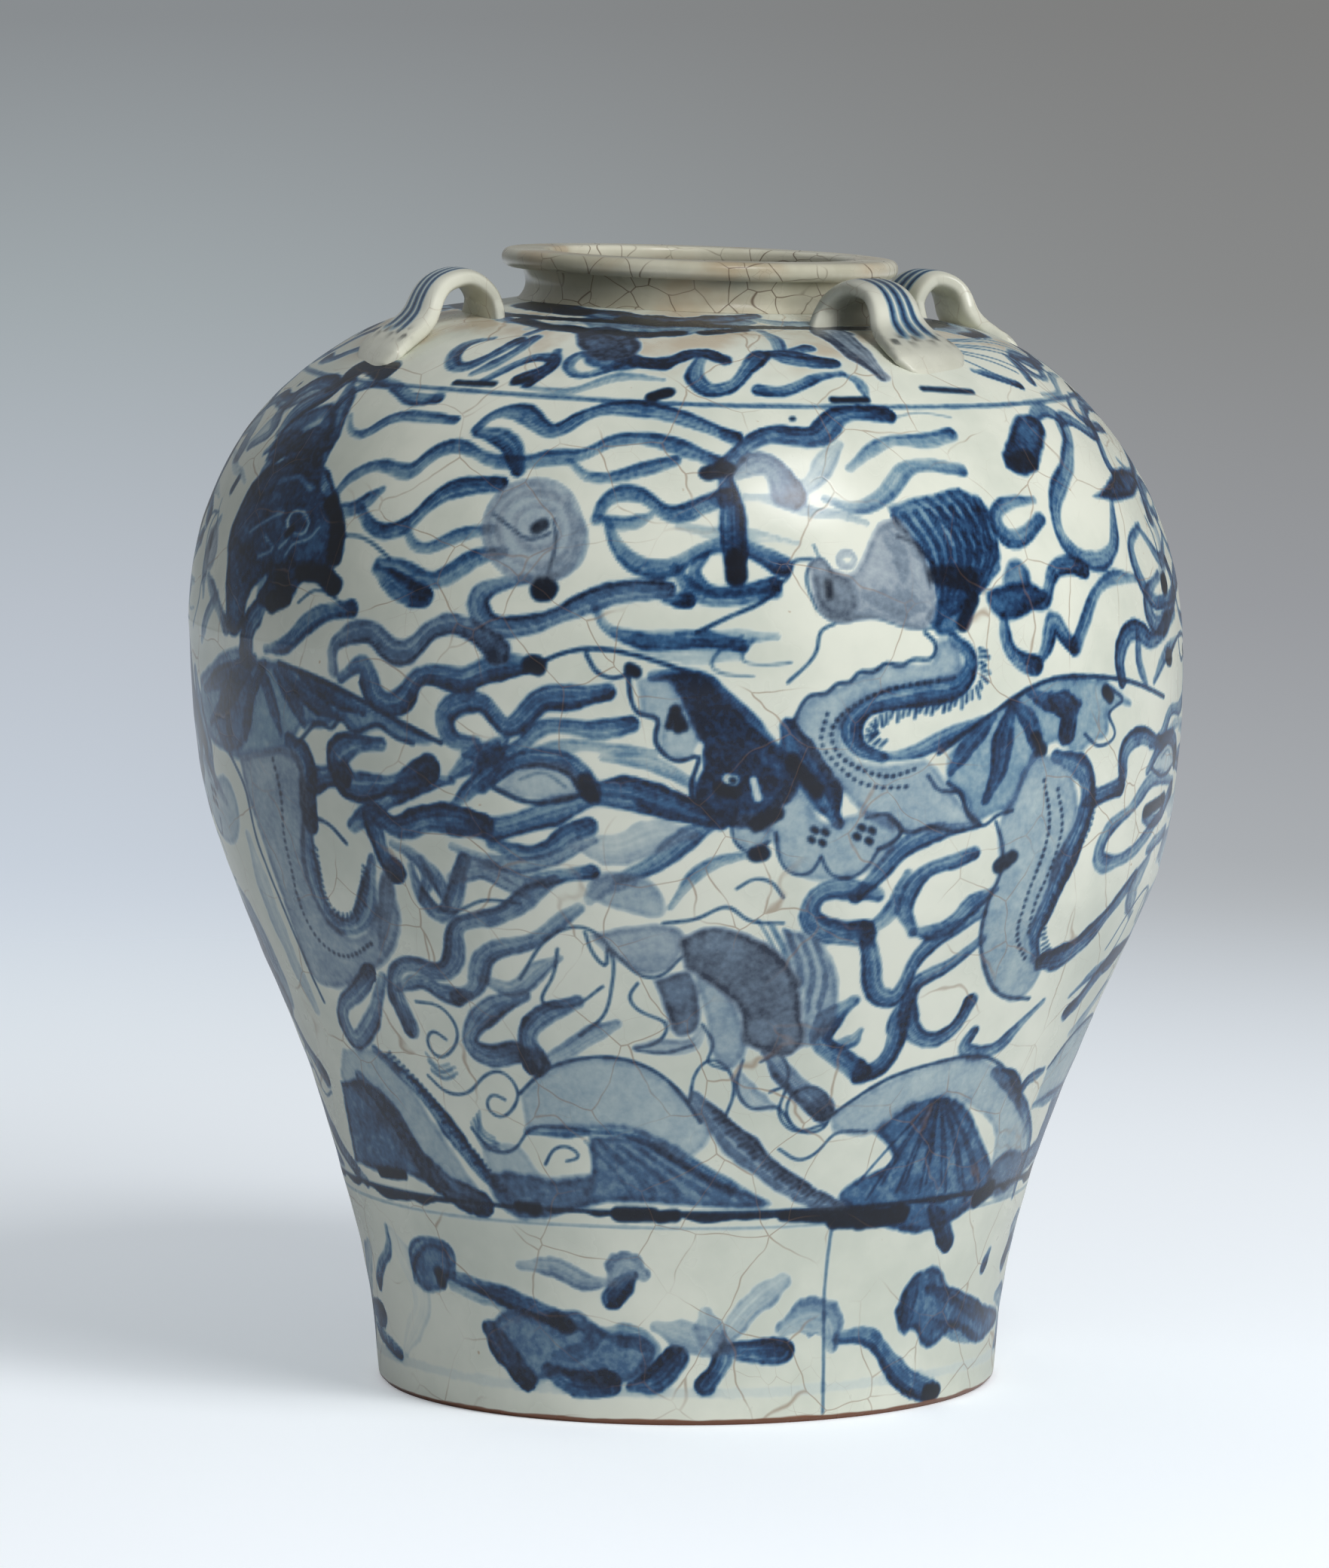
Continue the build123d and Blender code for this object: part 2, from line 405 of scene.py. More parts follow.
def streak(name: str, width: float, *places: float, strength: float = 0.6, grey: float = 0.0) -> Stroke:
    """An even stroke, thin at both ends."""
    return Stroke(name, Brush.STREAK, width, strength, places, grey)


def line(name: str, *places: float, width: float = 0.55, strength: float = 0.8) -> Stroke:
    """A fine outline."""
    return Stroke(name, Brush.LINE, width, strength, places)


def wash(name: str, strength: float, *places: float, grey: float = 0.0) -> Stroke:
    """Thin colour inside an outline."""
    return Stroke(name, Brush.WASH, 1.0, strength, places, grey)


def dab(name: str, width: float, *places: float, strength: float = 0.97) -> Stroke:
    """A near-black touch, round or drawn out."""
    return Stroke(name, Brush.DAB, width, strength, places)


def fan(name: str, count: int, *places: float, strength: float = 0.6) -> Stroke:
    """Fine lines between two guides: the first half of the places is one guide, the second half the other."""
    return Stroke(name, Brush.FAN, count, strength, places)


def dots(name: str, *places: float, width: float = 0.9) -> Stroke:
    """A row of dots."""
    return Stroke(name, Brush.DOTS, width, 0.9, places)


def spines(name: str, reach: float, *places: float, strength: float = 0.75) -> Stroke:
    """Short ticks to the left of a line's run, reach millimetres long."""
    return Stroke(name, Brush.SPINES, reach, strength, places)


def wipe_or_highlight(name: str, width: float, *places: float, strength: float = 0.85) -> Stroke:
    """A place where the brush lifted and the ground shows through, or a painted highlight laid the same way."""
    return Stroke(name, Brush.WIPE_OR_HIGHLIGHT, width, strength, places)


@dataclass(frozen=True)
class Bristles:
    """How a loaded brush marks the clay: lengths in millimetres, and shares of a stroke's width or strength."""

    half_share: float = 0.59
    reach_share: float = 1.25
    margin: float = 3.0
    taper_share: float = 0.3
    taper_least: float = 4.0
    taper_most: float = 16.0
    thin_start: float = 0.5
    thin_end: float = 0.4
    swells: tuple = ((0.17, 6.5, 1.7), (0.08, 2.9, 1.0))
    wander: float = 0.16
    soft_edge: float = 1.3
    body: float = 0.62
    rim: float = 0.52
    hair: float = 0.15
    mottle: float = 0.18
    one_sided: float = 0.24
    drying: float = 0.25
    drying_from: float = 0.35
    load: float = 1.1
    pool: float = 0.30
    pool_change: float = 0.15
    bleed: float = 0.13
    core_edge: float = 2.2
    core_run: float = 3.2
    core_from: float = 0.62


class Decoration:
    """The unrolled wall and the paint on it, by azimuth and by length along the outline."""

    pixel = 0.4
    columns = 2400
    bristles = Bristles()
    line_edge = 0.95
    wash_edge = 1.6
    dab_edge = 1.3
    hidden_turns = (180.0, 90.0, -90.0)
    middle_azimuth = 17.0

    def __init__(self, form: JarForm, reader: PhotoReader) -> None:
        """Lays out an unpainted wall.

        Args:
            form: The jar's form.
            reader: What finds a pixel's place on the wall.
        """
        self.form, self.reader = form, reader
        self.along = np.arange(0, form.total + self.pixel, self.pixel)
        self.radius = form.radius(self.along)
        self.step = 360 / self.columns
        size = (len(self.along), self.columns)
        self.cobalt, self.dark, self.grey = [np.zeros(size, np.float32) for _ in range(3)]
        self.uneven = soft_noise(size, (70, 160), 3) * 0.6 + soft_noise(size, (180, 400), 4) * 0.4

    def window(self, degrees: np.ndarray, along: np.ndarray, reach: float) -> tuple[np.ndarray, np.ndarray]:
        """The rows, and the columns, which may run past the seam, round some places.

        Args:
            degrees: Azimuths.
            along: Lengths along the outline.
            reach: How far round them to go, in millimetres.

        Returns:
            The rows and the columns.
        """
        first = max(int((along.min() - reach) / self.pixel), 0)
        last = min(int((along.max() + reach) / self.pixel) + 2, len(self.along))
        rows = np.arange(first, max(last, first + 1))
        spread = math.degrees(reach / self.radius[rows].min())
        low = math.floor((degrees.min() - spread + 180) / self.step)
        return rows, np.arange(low, math.ceil((degrees.max() + spread + 180) / self.step) + 1)

    def smooth_path(self, at: np.ndarray, spacing: float = 1.2) -> np.ndarray:
        """An even, rounded run of places through a few.

        Args:
            at: The few places, as azimuths and lengths.
            spacing: How far apart the new ones lie, in millimetres.

        Returns:
            Azimuths and lengths along it.
        """
        scale = np.array([math.radians(1) * float(self.form.radius(at[:, 1]).mean()), 1.0])
        flat = at * scale
        if len(flat) > 2:
            flat = clamped_spline(list(flat), flat[1] - flat[0], flat[-1] - flat[-2], 8)
        total = run_lengths(flat)[-1]
        return resample(flat, np.linspace(0, total, max(int(total / spacing) + 1, 2))) / scale

    def trace(self, path: np.ndarray, reach: float) -> tuple:
        """How near each place of the window is to a path.

        Args:
            path: Azimuths and lengths along the outline.
            reach: How far from the path to look, in millimetres.

        Returns:
            Rows, columns, distance, run along the path and side, and the path's whole length.
        """
        rows, columns = self.window(path[:, 0], path[:, 1], reach)
        size = (len(rows), len(columns))
        near, run, side = np.full(size, 1e9, np.float32), np.zeros(size, np.float32), np.ones(size, np.float32)
        radius, height = self.radius[rows], self.along[rows]
        degrees = columns * self.step - 180
        done = 0.0
        for (deg_a, y_a), (deg_b, y_b) in zip(path[:-1], path[1:]):
            top, bottom = np.searchsorted(height, [min(y_a, y_b) - reach, max(y_a, y_b) + reach])
            bottom = max(bottom, top + 1)
            spread = math.degrees(reach / radius[top:bottom].min()) if top < len(radius) else 1.0
            left, right = np.searchsorted(degrees, [min(deg_a, deg_b) - spread, max(deg_a, deg_b) + spread])
            if top >= len(rows) or left >= right:
                continue
            middle = (deg_a + deg_b) / 2
            r_a, r_b = np.interp([y_a, y_b], height, radius)
            a = np.array([math.radians(deg_a - middle) * r_a, y_a])
            b = np.array([math.radians(deg_b - middle) * r_b, y_b])
            x = np.radians(degrees[left:right] - middle)[None, :] * radius[top:bottom, None]
            y = height[top:bottom, None]
            way = b - a
            length = float(np.hypot(*way)) or 1e-6
            share = np.clip(((x - a[0]) * way[0] + (y - a[1]) * way[1]) / length**2, 0, 1)
            off_x, off_y = x - a[0] - share * way[0], y - a[1] - share * way[1]
            away = np.hypot(off_x, off_y)
            part = np.s_[top:bottom, left:right]
            closer = away < near[part]
            near[part] = np.where(closer, away, near[part])
            run[part] = np.where(closer, done + share * length, run[part])
            side[part] = np.where(closer, np.sign(way[0] * off_y - way[1] * off_x), side[part])
            done += length
        return rows, columns % self.columns, near, run, side, done

    def lay(self, rows: np.ndarray, columns: np.ndarray, density: np.ndarray, dark: float = 0.0,
            grey: float = 0.0) -> None:
        """Adds paint to a window.

        Args:
            rows: Its rows.
            columns: Its columns.
            density: How much cobalt to add, from 0 to 1.
            dark: How near to black its thickest paint is.
            grey: How far its colour is greyed.
        """
        part = np.ix_(rows, columns)
        density = np.clip(density, 0, 1)
        self.cobalt[part] = 1 - (1 - self.cobalt[part]) * (1 - density)
        if dark:
            self.dark[part] = np.maximum(self.dark[part], density * dark)
        if grey:
            self.grey[part] = self.grey[part] * (1 - density) + grey * np.minimum(density * 3, 1)

    def draw_line(self, path: np.ndarray, width: float, strength: float, dark: float = 0.35) -> None:
        """One fine line along a path, a little uneven in width.

        Args:
            path: Azimuths and lengths.
            width: Its width in millimetres.
            strength: How much cobalt it carries.
            dark: How near to black it is.
        """
        rows, columns, near, _, _, _ = self.trace(path, width + 1.2)
        half = width / 2 * (1 + 0.35 * self.uneven[np.ix_(rows, columns)])
        self.lay(rows, columns, strength * np.clip((half - near) / self.line_edge + 0.6, 0, 1), dark)

    def draw_brush(self, path: np.ndarray, stroke: Stroke, pooled: bool, seed: int) -> None:
        """One broad stroke: dark edges, hair streaks, and a pool where the brush stopped.

        Args:
            path: Azimuths and lengths.
            stroke: The stroke.
            pooled: Whether it ends in a pool.
            seed: Which brush hairs it shows.
        """
        hand = self.bristles
        half_full = stroke.width * hand.half_share
        rows, columns, near, run, side, total = self.trace(path, half_full * hand.reach_share + hand.margin)
        uneven = self.uneven[np.ix_(rows, columns)]
        left = total - run
        taper = min(max(hand.taper_share * total, hand.taper_least), hand.taper_most)
        begin = hand.thin_start + (1 - hand.thin_start) * smooth_step(0, taper, run)
        finish = 1.0 if pooled else hand.thin_end + (1 - hand.thin_end) * smooth_step(0, taper, left)
        swell = 1 + sum(depth * np.sin(run / pitch + turn * seed) for depth, pitch, turn in hand.swells)
        half = half_full * begin * finish * swell * (1 + hand.wander * uneven)
        across = near / np.maximum(half, 0.2)
        within = np.clip(across, 0, 1)
        cover = np.clip((half - near) / hand.soft_edge + 0.5, 0, 1)
        turn = side * across * 4.2
        hair = (np.sin(turn * 1.9 + seed) + np.sin(turn * 3.7 + 2.3 * seed + run / 30)) * 0.5
        body = hand.body + hand.rim * within ** 3 + hand.hair * hair + hand.mottle * uneven
        body += hand.one_sided * side * within * math.copysign(1, math.sin(2.1 * seed + 0.5))
        pool = smooth_step(1.5 * half_full + 2.5, 0, left) if pooled else 0.0
        dry = 1 - hand.drying * smooth_step(hand.drying_from * total, 0, run) * (0.5 + 0.5 * hair)
        wet = 1 + (hand.pool + hand.pool_change * math.sin(3.3 * seed)) * pool
        density = hand.load * stroke.strength * body * dry * wet
        beside = near < half_full * hand.reach_share + 2.9
        bleed = hand.bleed * stroke.strength * np.exp(-np.maximum(near - half, 0)) * beside
        self.lay(rows, columns, np.maximum(cover * density, bleed), 0.0, stroke.grey)
        if pooled:
            core = np.clip((half * 0.95 - near) / hand.core_edge + 0.4 * uneven, 0, 1)
            core = core * smooth_step(hand.core_run * half_full, 0, left + 2 * uneven)
            deep = max(stroke.strength - hand.core_from, 0) * 2.2
            black = (0.5 + 0.4 * math.sin(1.9 * seed)) * min(deep, 0.8)
            self.lay(rows, columns, core * (0.25 + 0.35 * deep), black)

    def fill(self, path: np.ndarray, stroke: Stroke) -> None:
        """Thin colour inside a closed path, a little deeper at its edge.

        Args:
            path: Azimuths and lengths.
            stroke: The stroke.
        """
        closed = np.vstack([path, path[:1]])
        rows, columns, near, _, _, _ = self.trace(closed, 5.0)
        x, y = self.window(closed[:, 0], closed[:, 1], 5.0)[1] * self.step - 180, self.along[rows]
        inside = np.zeros((len(rows), len(columns)), bool)
        for (x_a, y_a), (x_b, y_b) in zip(closed[:-1], closed[1:]):
            if y_a != y_b:
                crosses = (y >= min(y_a, y_b)) & (y < max(y_a, y_b))
                meets = x_a + (y - y_a) * (x_b - x_a) / (y_b - y_a)
                inside ^= crosses[:, None] & (x[None, :] < meets[:, None])
        uneven = self.uneven[np.ix_(rows, columns)]
        signed = np.where(inside, near, -near) + uneven * 0.5
        cover = np.clip(signed / self.wash_edge + 0.5, 0, 1)
        edge = 1 + 0.35 * np.exp(-((np.minimum(near, 9) - 1.0) / 1.1) ** 2)
        self.lay(rows, columns, cover * stroke.strength * edge * (1 + 0.28 * uneven), 0.0, stroke.grey)

    def paint(self, stroke: Stroke, at: np.ndarray, seed: int) -> None:
        """Lays one stroke.

        Args:
            stroke: The stroke.
            at: Its places as azimuths and lengths.
            seed: Which brush hairs it shows.
        """
        if stroke.brush is Brush.FAN:
            half = len(at) // 2
            first, last = self.smooth_path(at[:half]), self.smooth_path(at[half:])
            steps = np.linspace(0, 1, 14)[:, None]
            first, last = [
                np.stack([np.interp(steps[:, 0], np.linspace(0, 1, len(g)), g[:, k]) for k in (0, 1)], axis=1)
                for g in (first, last)]
            for i in range(int(stroke.width)):
                share = (i + 0.28 * math.sin(3.1 * i + seed)) / max(stroke.width - 1, 1)
                end = 14 - int(2.9 * abs(math.sin(1.7 * i + seed)))
                self.draw_line((first + (last - first) * share)[:end], 0.62, stroke.strength * 0.8, 0.1)
            return
        path = self.smooth_path(at)
        if stroke.brush is Brush.LINE:
            self.draw_line(path, stroke.width, stroke.strength)
        elif stroke.brush in (Brush.RIBBON, Brush.STREAK):
            self.draw_brush(path, stroke, stroke.brush is Brush.RIBBON, seed)
        elif stroke.brush is Brush.WASH:
            self.fill(path, stroke)
        elif stroke.brush is Brush.WIPE_OR_HIGHLIGHT:
            rows, columns, near, _, _, _ = self.trace(path, stroke.width)
            cover = stroke.strength * np.clip((stroke.width / 2 - near) / 1.0 + 0.5, 0, 1)
            for layer in (self.cobalt, self.dark):
                layer[np.ix_(rows, columns)] *= 1 - cover
        elif stroke.brush is Brush.DAB:
            rows, columns, near, _, _, _ = self.trace(path, stroke.width)
            half = stroke.width / 2 * (1 + 0.2 * self.uneven[np.ix_(rows, columns)])
            self.lay(rows, columns, stroke.strength * np.clip((half - near) / self.dab_edge + 0.5, 0, 1), 0.9)
        else:
            self.paint_row(stroke, path)

    def paint_row(self, stroke: Stroke, path: np.ndarray) -> None:
        """Dots or ticks along a path.

        Args:
            stroke: The stroke.
            path: Azimuths and lengths.
        """
        spacing = 2.3 if stroke.brush is Brush.DOTS else 1.9
        scale = np.array([math.radians(1) * float(self.form.radius(path[:, 1]).mean()), 1.0])
        flat = path * scale
        total = run_lengths(flat)[-1]
        stations = resample(flat, np.linspace(0, total, max(int(total / spacing) + 1, 2)))
        for i, (a, b) in enumerate(zip(stations[:-1], stations[1:])):
            way = (b - a) / (np.linalg.norm(b - a) or 1)
            left = np.array([-way[1], way[0]])
            if stroke.brush is Brush.DOTS:
                self.draw_line(np.array([a, a + way * 0.2]) / scale, stroke.width, stroke.strength, 0.8)
            else:
                tip = a + left * stroke.width * (0.8 + 0.3 * math.sin(2.3 * i)) + way * stroke.width * 0.35
                self.draw_line(np.array([a, tip]) / scale, 0.75, stroke.strength, 0.3)

    def level(self, column: float, row: float) -> float:
        """The length up the outline at a pixel of the photograph."""
        return float(self.reader.locate(np.array([[column, row]], float))[0, 1])

    def ring(self, along: float, width: float, strength: float, wander: float, dark: float, seed: int) -> None:
        """A line right round the jar, which wanders and thickens a little.

        Args:
            along: Its length up the outline.
            width: Its width in millimetres.
            strength: How much cobalt it carries.
            wander: How far it strays, in millimetres.
            dark: How near to black it is.
            seed: Which way it strays.
        """
        degrees = np.arange(-180, 180.1, 1.5)
        turn = np.radians(degrees)
        stray = np.sin(turn + seed) + 0.6 * np.sin(3 * turn + 2 * seed) + 0.4 * np.sin(7 * turn + seed)
        height = along + wander * stray
        self.draw_line(np.stack([degrees, height], axis=1), width, strength, dark)

    def ground(self, along: float) -> None:
        """The ragged dark line under the hills, pooled and dripping in places.

        Args:
            along: Its length up the outline.
        """
        degrees = np.arange(self.columns) * self.step - 180
        turn = np.radians(degrees)
        swell = np.sin(5 * turn + 0.4) + 0.6 * np.sin(13 * turn + 1.0) + 0.5 * np.sin(29 * turn)
        thick = 1.1 + 1.5 * np.clip(swell, 0, 2)
        thick += 0.9 * np.clip(soft_noise((2, self.columns), (1, 150), 8)[0], -0.5, 1)
        rows = np.arange(int((along - 9) / self.pixel), int((along + 6) / self.pixel))
        below = along - self.along[rows][:, None]
        cover = np.clip((thick[None, :] - below) / 0.8, 0, 1) * np.clip((below + 1.3) / 1.1, 0, 1)
        self.lay(rows, np.arange(self.columns), 0.9 * cover, 0.7)

    def apply(self, strokes: list[Stroke]) -> None:
        """Paints the side seen in the photograph, and the same motifs on the side that it doesn't show.

        Args:
            strokes: The strokes, in the order in which they are laid.
        """
        for seed, stroke in enumerate(strokes):
            at = self.reader.locate(np.array(stroke.places, float).reshape(-1, 2))
            self.paint(stroke, at, seed)
            middle = abs(at[:, 0].mean()) < self.middle_azimuth
            for turn in self.hidden_turns if middle else self.hidden_turns[:1]:
                self.paint(stroke, at + np.array([turn, 0.0]), seed + 7)

    def sample(self, degrees: np.ndarray, along: np.ndarray) -> np.ndarray:
        """Reads the paint.

        Args:
            degrees: Azimuths from the front.
            along: Lengths along the outline.

        Returns:
            Cobalt, dark and grey at each place.
        """
        row = np.clip(along / self.pixel, 0, len(self.along) - 1.001)
        column = ((degrees + 180) / self.step) % self.columns
        i, j = row.astype(int), column.astype(int)
        a, b = row - i, column - j
        after = (j + 1) % self.columns
        return np.stack([
            (g[i, j % self.columns] * (1 - b) + g[i, after] * b) * (1 - a)
            + (g[i + 1, j % self.columns] * (1 - b) + g[i + 1, after] * b) * a
            for g in (self.cobalt, self.dark, self.grey)
        ], axis=1)


def loop(column: float, row: float, across: float, up: float) -> tuple:
    """Pixels round an oval, back to where it starts."""
    turns = [k * math.pi / 4 for k in range(9)]
    return tuple(v for turn in turns for v in (column + across * math.cos(turn), row + up * math.sin(turn)))


def shoulder_band() -> list[Stroke]:
    """Scrolls between the collar and the shoulder line.

    Returns:
        The strokes, in the order in which they are laid.
    """
    return [
        streak("dark line under the collar", 9.0, 690, 404, 760, 412, 810, 419, 870, 425, 930, 425, 1000, 420,
               strength=0.98),
        dab("thick smear at its left", 9.0, 700, 404, 735, 411, 770, 416, strength=0.8),
        dab("thick smear in the middle", 8.0, 832, 424, 880, 430, 925, 429, strength=0.85),
        streak("run of that smear", 12.0, 780, 424, 850, 438, 920, 436, 990, 428, strength=0.6),
        streak("pale smear to the lug", 5.0, 1000, 424, 1040, 430, 1080, 428, strength=0.5),
        streak("thin shade under that line", 5.0, 700, 436, 760, 428, 850, 433, 950, 428, 1010, 440, strength=0.28,
               grey=0.5),
        dab("smear by the neck", 5.4, 690, 424, 730, 434, 772, 438, strength=0.8),
        dab("second smear", 5.0, 800, 440, 860, 444, 900, 442, strength=0.85),
        dab("third smear", 4.6, 935, 442, 985, 438, strength=0.8),
        streak("splash behind the left lug", 4.0, 655, 410, 672, 424, 700, 430, strength=0.85),
        dab("smear at the left lug", 9.0, 470, 494, 490, 484, 512, 492, strength=0.85),
        # Painted shadow: the shade that falls inside the right lug's loop is laid on the wall as a full-strength grey
        # stroke.
        streak("painted shadow inside the right loop", 9.0, 1086, 432, 1112, 448, 1142, 472, 1172, 500, strength=1.0, grey=1.0),
        dab("mark by the right lug", 2.2, 1225, 516, 1290, 520, strength=0.8),
        ribbon("inner scroll", 3.6, 740, 466, 728, 490, 700, 508, strength=0.85),
        ribbon("scroll over the ring", 3.6, 802, 472, 850, 482, 892, 478, 930, 468, 962, 476, strength=0.8),
        ribbon("right scroll", 4.2, 1020, 470, 1052, 478, 1104, 482, strength=0.85),
        ribbon("scroll to the lug", 3.6, 1010, 440, 1030, 452, 1040, 468, 1072, 462, strength=0.6),
        wash("dark heart", 0.5, 770, 470, 800, 462, 842, 468, 850, 486, 812, 492, 780, 486),
        ribbon("first scroll", 3.4, 655, 449, 625, 455, 601, 475, 612, 488, 640, 478, 690, 452, strength=0.85),
        ribbon("second scroll", 3.0, 628, 496, 655, 484, 690, 464, 712, 448, strength=0.7),
        ribbon("third scroll", 3.4, 642, 505, 680, 486, 720, 474, 736, 480, 716, 494, 690, 504, strength=0.85),
        ribbon("long scroll", 4.0, 700, 444, 735, 434, 775, 440, 815, 458, 842, 478, 880, 485, strength=0.88),
        wash("dark patch", 0.8, 765, 438, 800, 434, 838, 444, 842, 470, 800, 478, 768, 460, grey=0.3),
        ribbon("small ring", 2.8, 802, 474, 775, 470, 755, 484, 768, 498, 800, 492, 830, 480, strength=0.8),
        streak("pale run", 2.6, 700, 515, 760, 519, 800, 506, 840, 500, 880, 505, strength=0.5),
        ribbon("middle scroll", 3.4, 842, 484, 872, 485, 905, 474, 940, 470, 962, 480, strength=0.85),
        ribbon("great hook", 4.4, 930, 476, 922, 500, 942, 518, 972, 512, 992, 490, 1010, 472, strength=0.82),
        streak("right run", 3.2, 1008, 470, 1050, 470, 1080, 476, 1108, 482, strength=0.8),
        ribbon("lower run", 3.4, 1118, 496, 1090, 500, 1060, 513, 1035, 520, 1008, 518, strength=0.85),
        streak("falling run", 2.8, 1118, 496, 1138, 506, 1150, 526, strength=0.6),
        dab("first dash", 2.2, 605, 508, 655, 510),
        dab("second dash", 2.0, 682, 508, 702, 503),
        dab("middle blot", 4.0, 866, 527, 886, 521),
        dab("right dash", 2.4, 1106, 531, 1150, 531),
        fan("right fronds", 7, 1250, 450, 1330, 455, 1400, 486, 1262, 470, 1300, 485, 1345, 506, strength=0.8),
        ribbon("right frond", 3.4, 1292, 492, 1320, 500, 1352, 511, strength=0.85),
        ribbon("right frond tip", 3.0, 1332, 470, 1355, 490, 1368, 506, strength=0.8),
        streak("left fronds", 3.4, 470, 488, 500, 478, 530, 474, strength=0.8),
    ]


def upper_clouds() -> list[Stroke]:
    """Tongues of cloud and flame over the shoulder.

    Returns:
        The strokes, in the order in which they are laid.
    """
    return [
        ribbon("left tongue", 3.4, 440, 548, 462, 524, 490, 511, 525, 513, 550, 530, 582, 529, strength=0.82),
        ribbon("short tongue", 2.8, 464, 553, 466, 572, 486, 575, 515, 558, 555, 553, 604, 558),
        ribbon("great tongue", 4.3, 632, 570, 652, 553, 690, 547, 712, 560, 735, 572, 760, 560, 795, 545, 850, 543,
               900, 553, 975, 582, strength=0.8),
        ribbon("great tongue's root", 4.6, 636, 574, 662, 580, 680, 595, 688, 624, strength=0.9),
        ribbon("long tongue", 3.6, 440, 665, 456, 643, 480, 625, 510, 618, 545, 625, 575, 603, 605, 592, 640, 605,
               680, 615, 730, 608, 775, 603, 810, 587, 850, 582, 890, 590, 955, 614, strength=0.76),
        ribbon("its loop", 2.9, 757, 612, 775, 630, 810, 634, 850, 624, 896, 612),
        streak("left curl", 3.4, 508, 650, 488, 664, 470, 675, 440, 676, strength=0.75),
        ribbon("doubled tongue", 4.2, 478, 676, 492, 697, 515, 706, 540, 697, 570, 670, 600, 651, 635, 645, 662, 643,
               strength=0.85),
        streak("its shadow", 3.4, 540, 702, 548, 722, 565, 728, 600, 714, 655, 702, strength=0.7),
        line("fine tail", 440, 712, 475, 712, 500, 726, 518, 742),
        ribbon("knot below", 5.4, 500, 756, 520, 772, 545, 788, 562, 792, strength=0.9),
        streak("knot above", 5.0, 504, 748, 530, 754, 555, 766, 585, 768, 612, 752, 640, 738, 668, 734,
               strength=0.75),
        wash("pearl", 0.30, *loop(710, 705, 66, 66)[:16], grey=0.7),
        streak("pearl's rim", 1.6, *loop(710, 705, 66, 66), strength=0.45, grey=0.6),
        streak("pearl's turn", 1.5, *loop(712, 703, 50, 48), strength=0.4, grey=0.6),
        streak("pearl's inner turn", 1.5, *loop(714, 700, 32, 30), strength=0.45, grey=0.6),
        streak("pearl's shade", 5.0, 755, 672, 768, 705, 752, 748, 715, 765, strength=0.35, grey=0.4),
        dab("pearl's heart", 3.4, 712, 702, 722, 696, strength=0.8),
        line("pearl's beak", 655, 683, 680, 702, 705, 716, 730, 708),
        line("pearl's stem", 735, 690, 738, 715, 728, 760),
        ribbon("tail of the pearl", 4.8, 700, 768, 665, 776, 635, 795, 640, 820, 690, 832, 740, 818, 780, 800, 820,
               787, 886, 783, strength=0.82, grey=0.15),
        dab("seed of the pearl", 6.4, 718, 783, 724, 781),
        ribbon("right ring", 4.0, 792, 690, 802, 668, 832, 654, 862, 664, 886, 681, 908, 681, 940, 668, 968, 660,
               strength=0.75),
        streak("inside the ring", 3.4, 797, 688, 815, 694, 845, 693, 864, 684, strength=0.6),
        ribbon("under the ring", 3.9, 806, 690, 818, 724, 842, 748, 880, 757, 912, 742, 950, 725, 990, 728, 1038,
               752),
        ribbon("eye, outer", 3.6, 896, 755, 915, 780, 945, 795, 985, 793, 1030, 786, strength=0.75),
        ribbon("eye, inner", 3.2, 935, 738, 922, 758, 938, 782, 970, 787, 1028, 776),
        ribbon("low tongue", 3.6, 790, 805, 802, 830, 835, 846, 880, 853, 930, 848, 985, 858, strength=0.72),
        line("first wisp", 985, 845, 960, 860, 945, 885, 962, 895, 1000, 898, strength=0.5),
        line("second wisp", 1000, 850, 985, 875, 1010, 883, 1050, 880, strength=0.45),
        streak("pale swoosh", 2.8, 850, 842, 920, 845, 985, 846, 1032, 845, strength=0.4),
        streak("second pale swoosh", 5.0, 815, 838, 862, 858, 920, 866, 980, 872, strength=0.3),
        streak("tongue between", 2.6, 900, 700, 950, 708, 1010, 712, 1060, 722, strength=0.25),
        ribbon("short dash", 3.0, 884, 795, 900, 797, 914, 797, strength=0.8),
        streak("drip", 6.6, 962, 628, 970, 670, 974, 720, 976, 768, strength=0.98),
        dab("drip's end", 6.2, 975, 742, 977, 764),
        dab("drip's head", 4.4, 938, 628, 966, 622, strength=0.85),
        ribbon("arc from the drip", 5.6, 945, 627, 970, 612, 992, 592, 1025, 577, 1060, 580, 1085, 578, 1105, 558,
               1140, 548, 1176, 551, strength=0.9),
        ribbon("violet fold", 7.4, 980, 628, 1012, 614, 1032, 630, 1046, 656, strength=0.55, grey=0.5),
        streak("pale fold", 4.2, 1045, 658, 1078, 640, 1098, 610, 1115, 590, strength=0.3, grey=0.3),
        streak("long pale run", 2.6, 990, 660, 1030, 665, 1080, 680, 1120, 685, 1150, 695, strength=0.35, grey=0.3),
        ribbon("first right tongue", 3.6, 1128, 622, 1160, 595, 1190, 585, 1230, 585, 1262, 577, strength=0.55),
        ribbon("second right tongue", 3.8, 1095, 662, 1130, 674, 1162, 666, 1185, 645, 1205, 622, 1240, 618, 1276,
               624, strength=0.55),
        line("hair over it", 1180, 556, 1220, 548, 1262, 554, strength=0.35),
        dab("stray dot", 1.3, 1051, 556, 1053, 556),
    ]


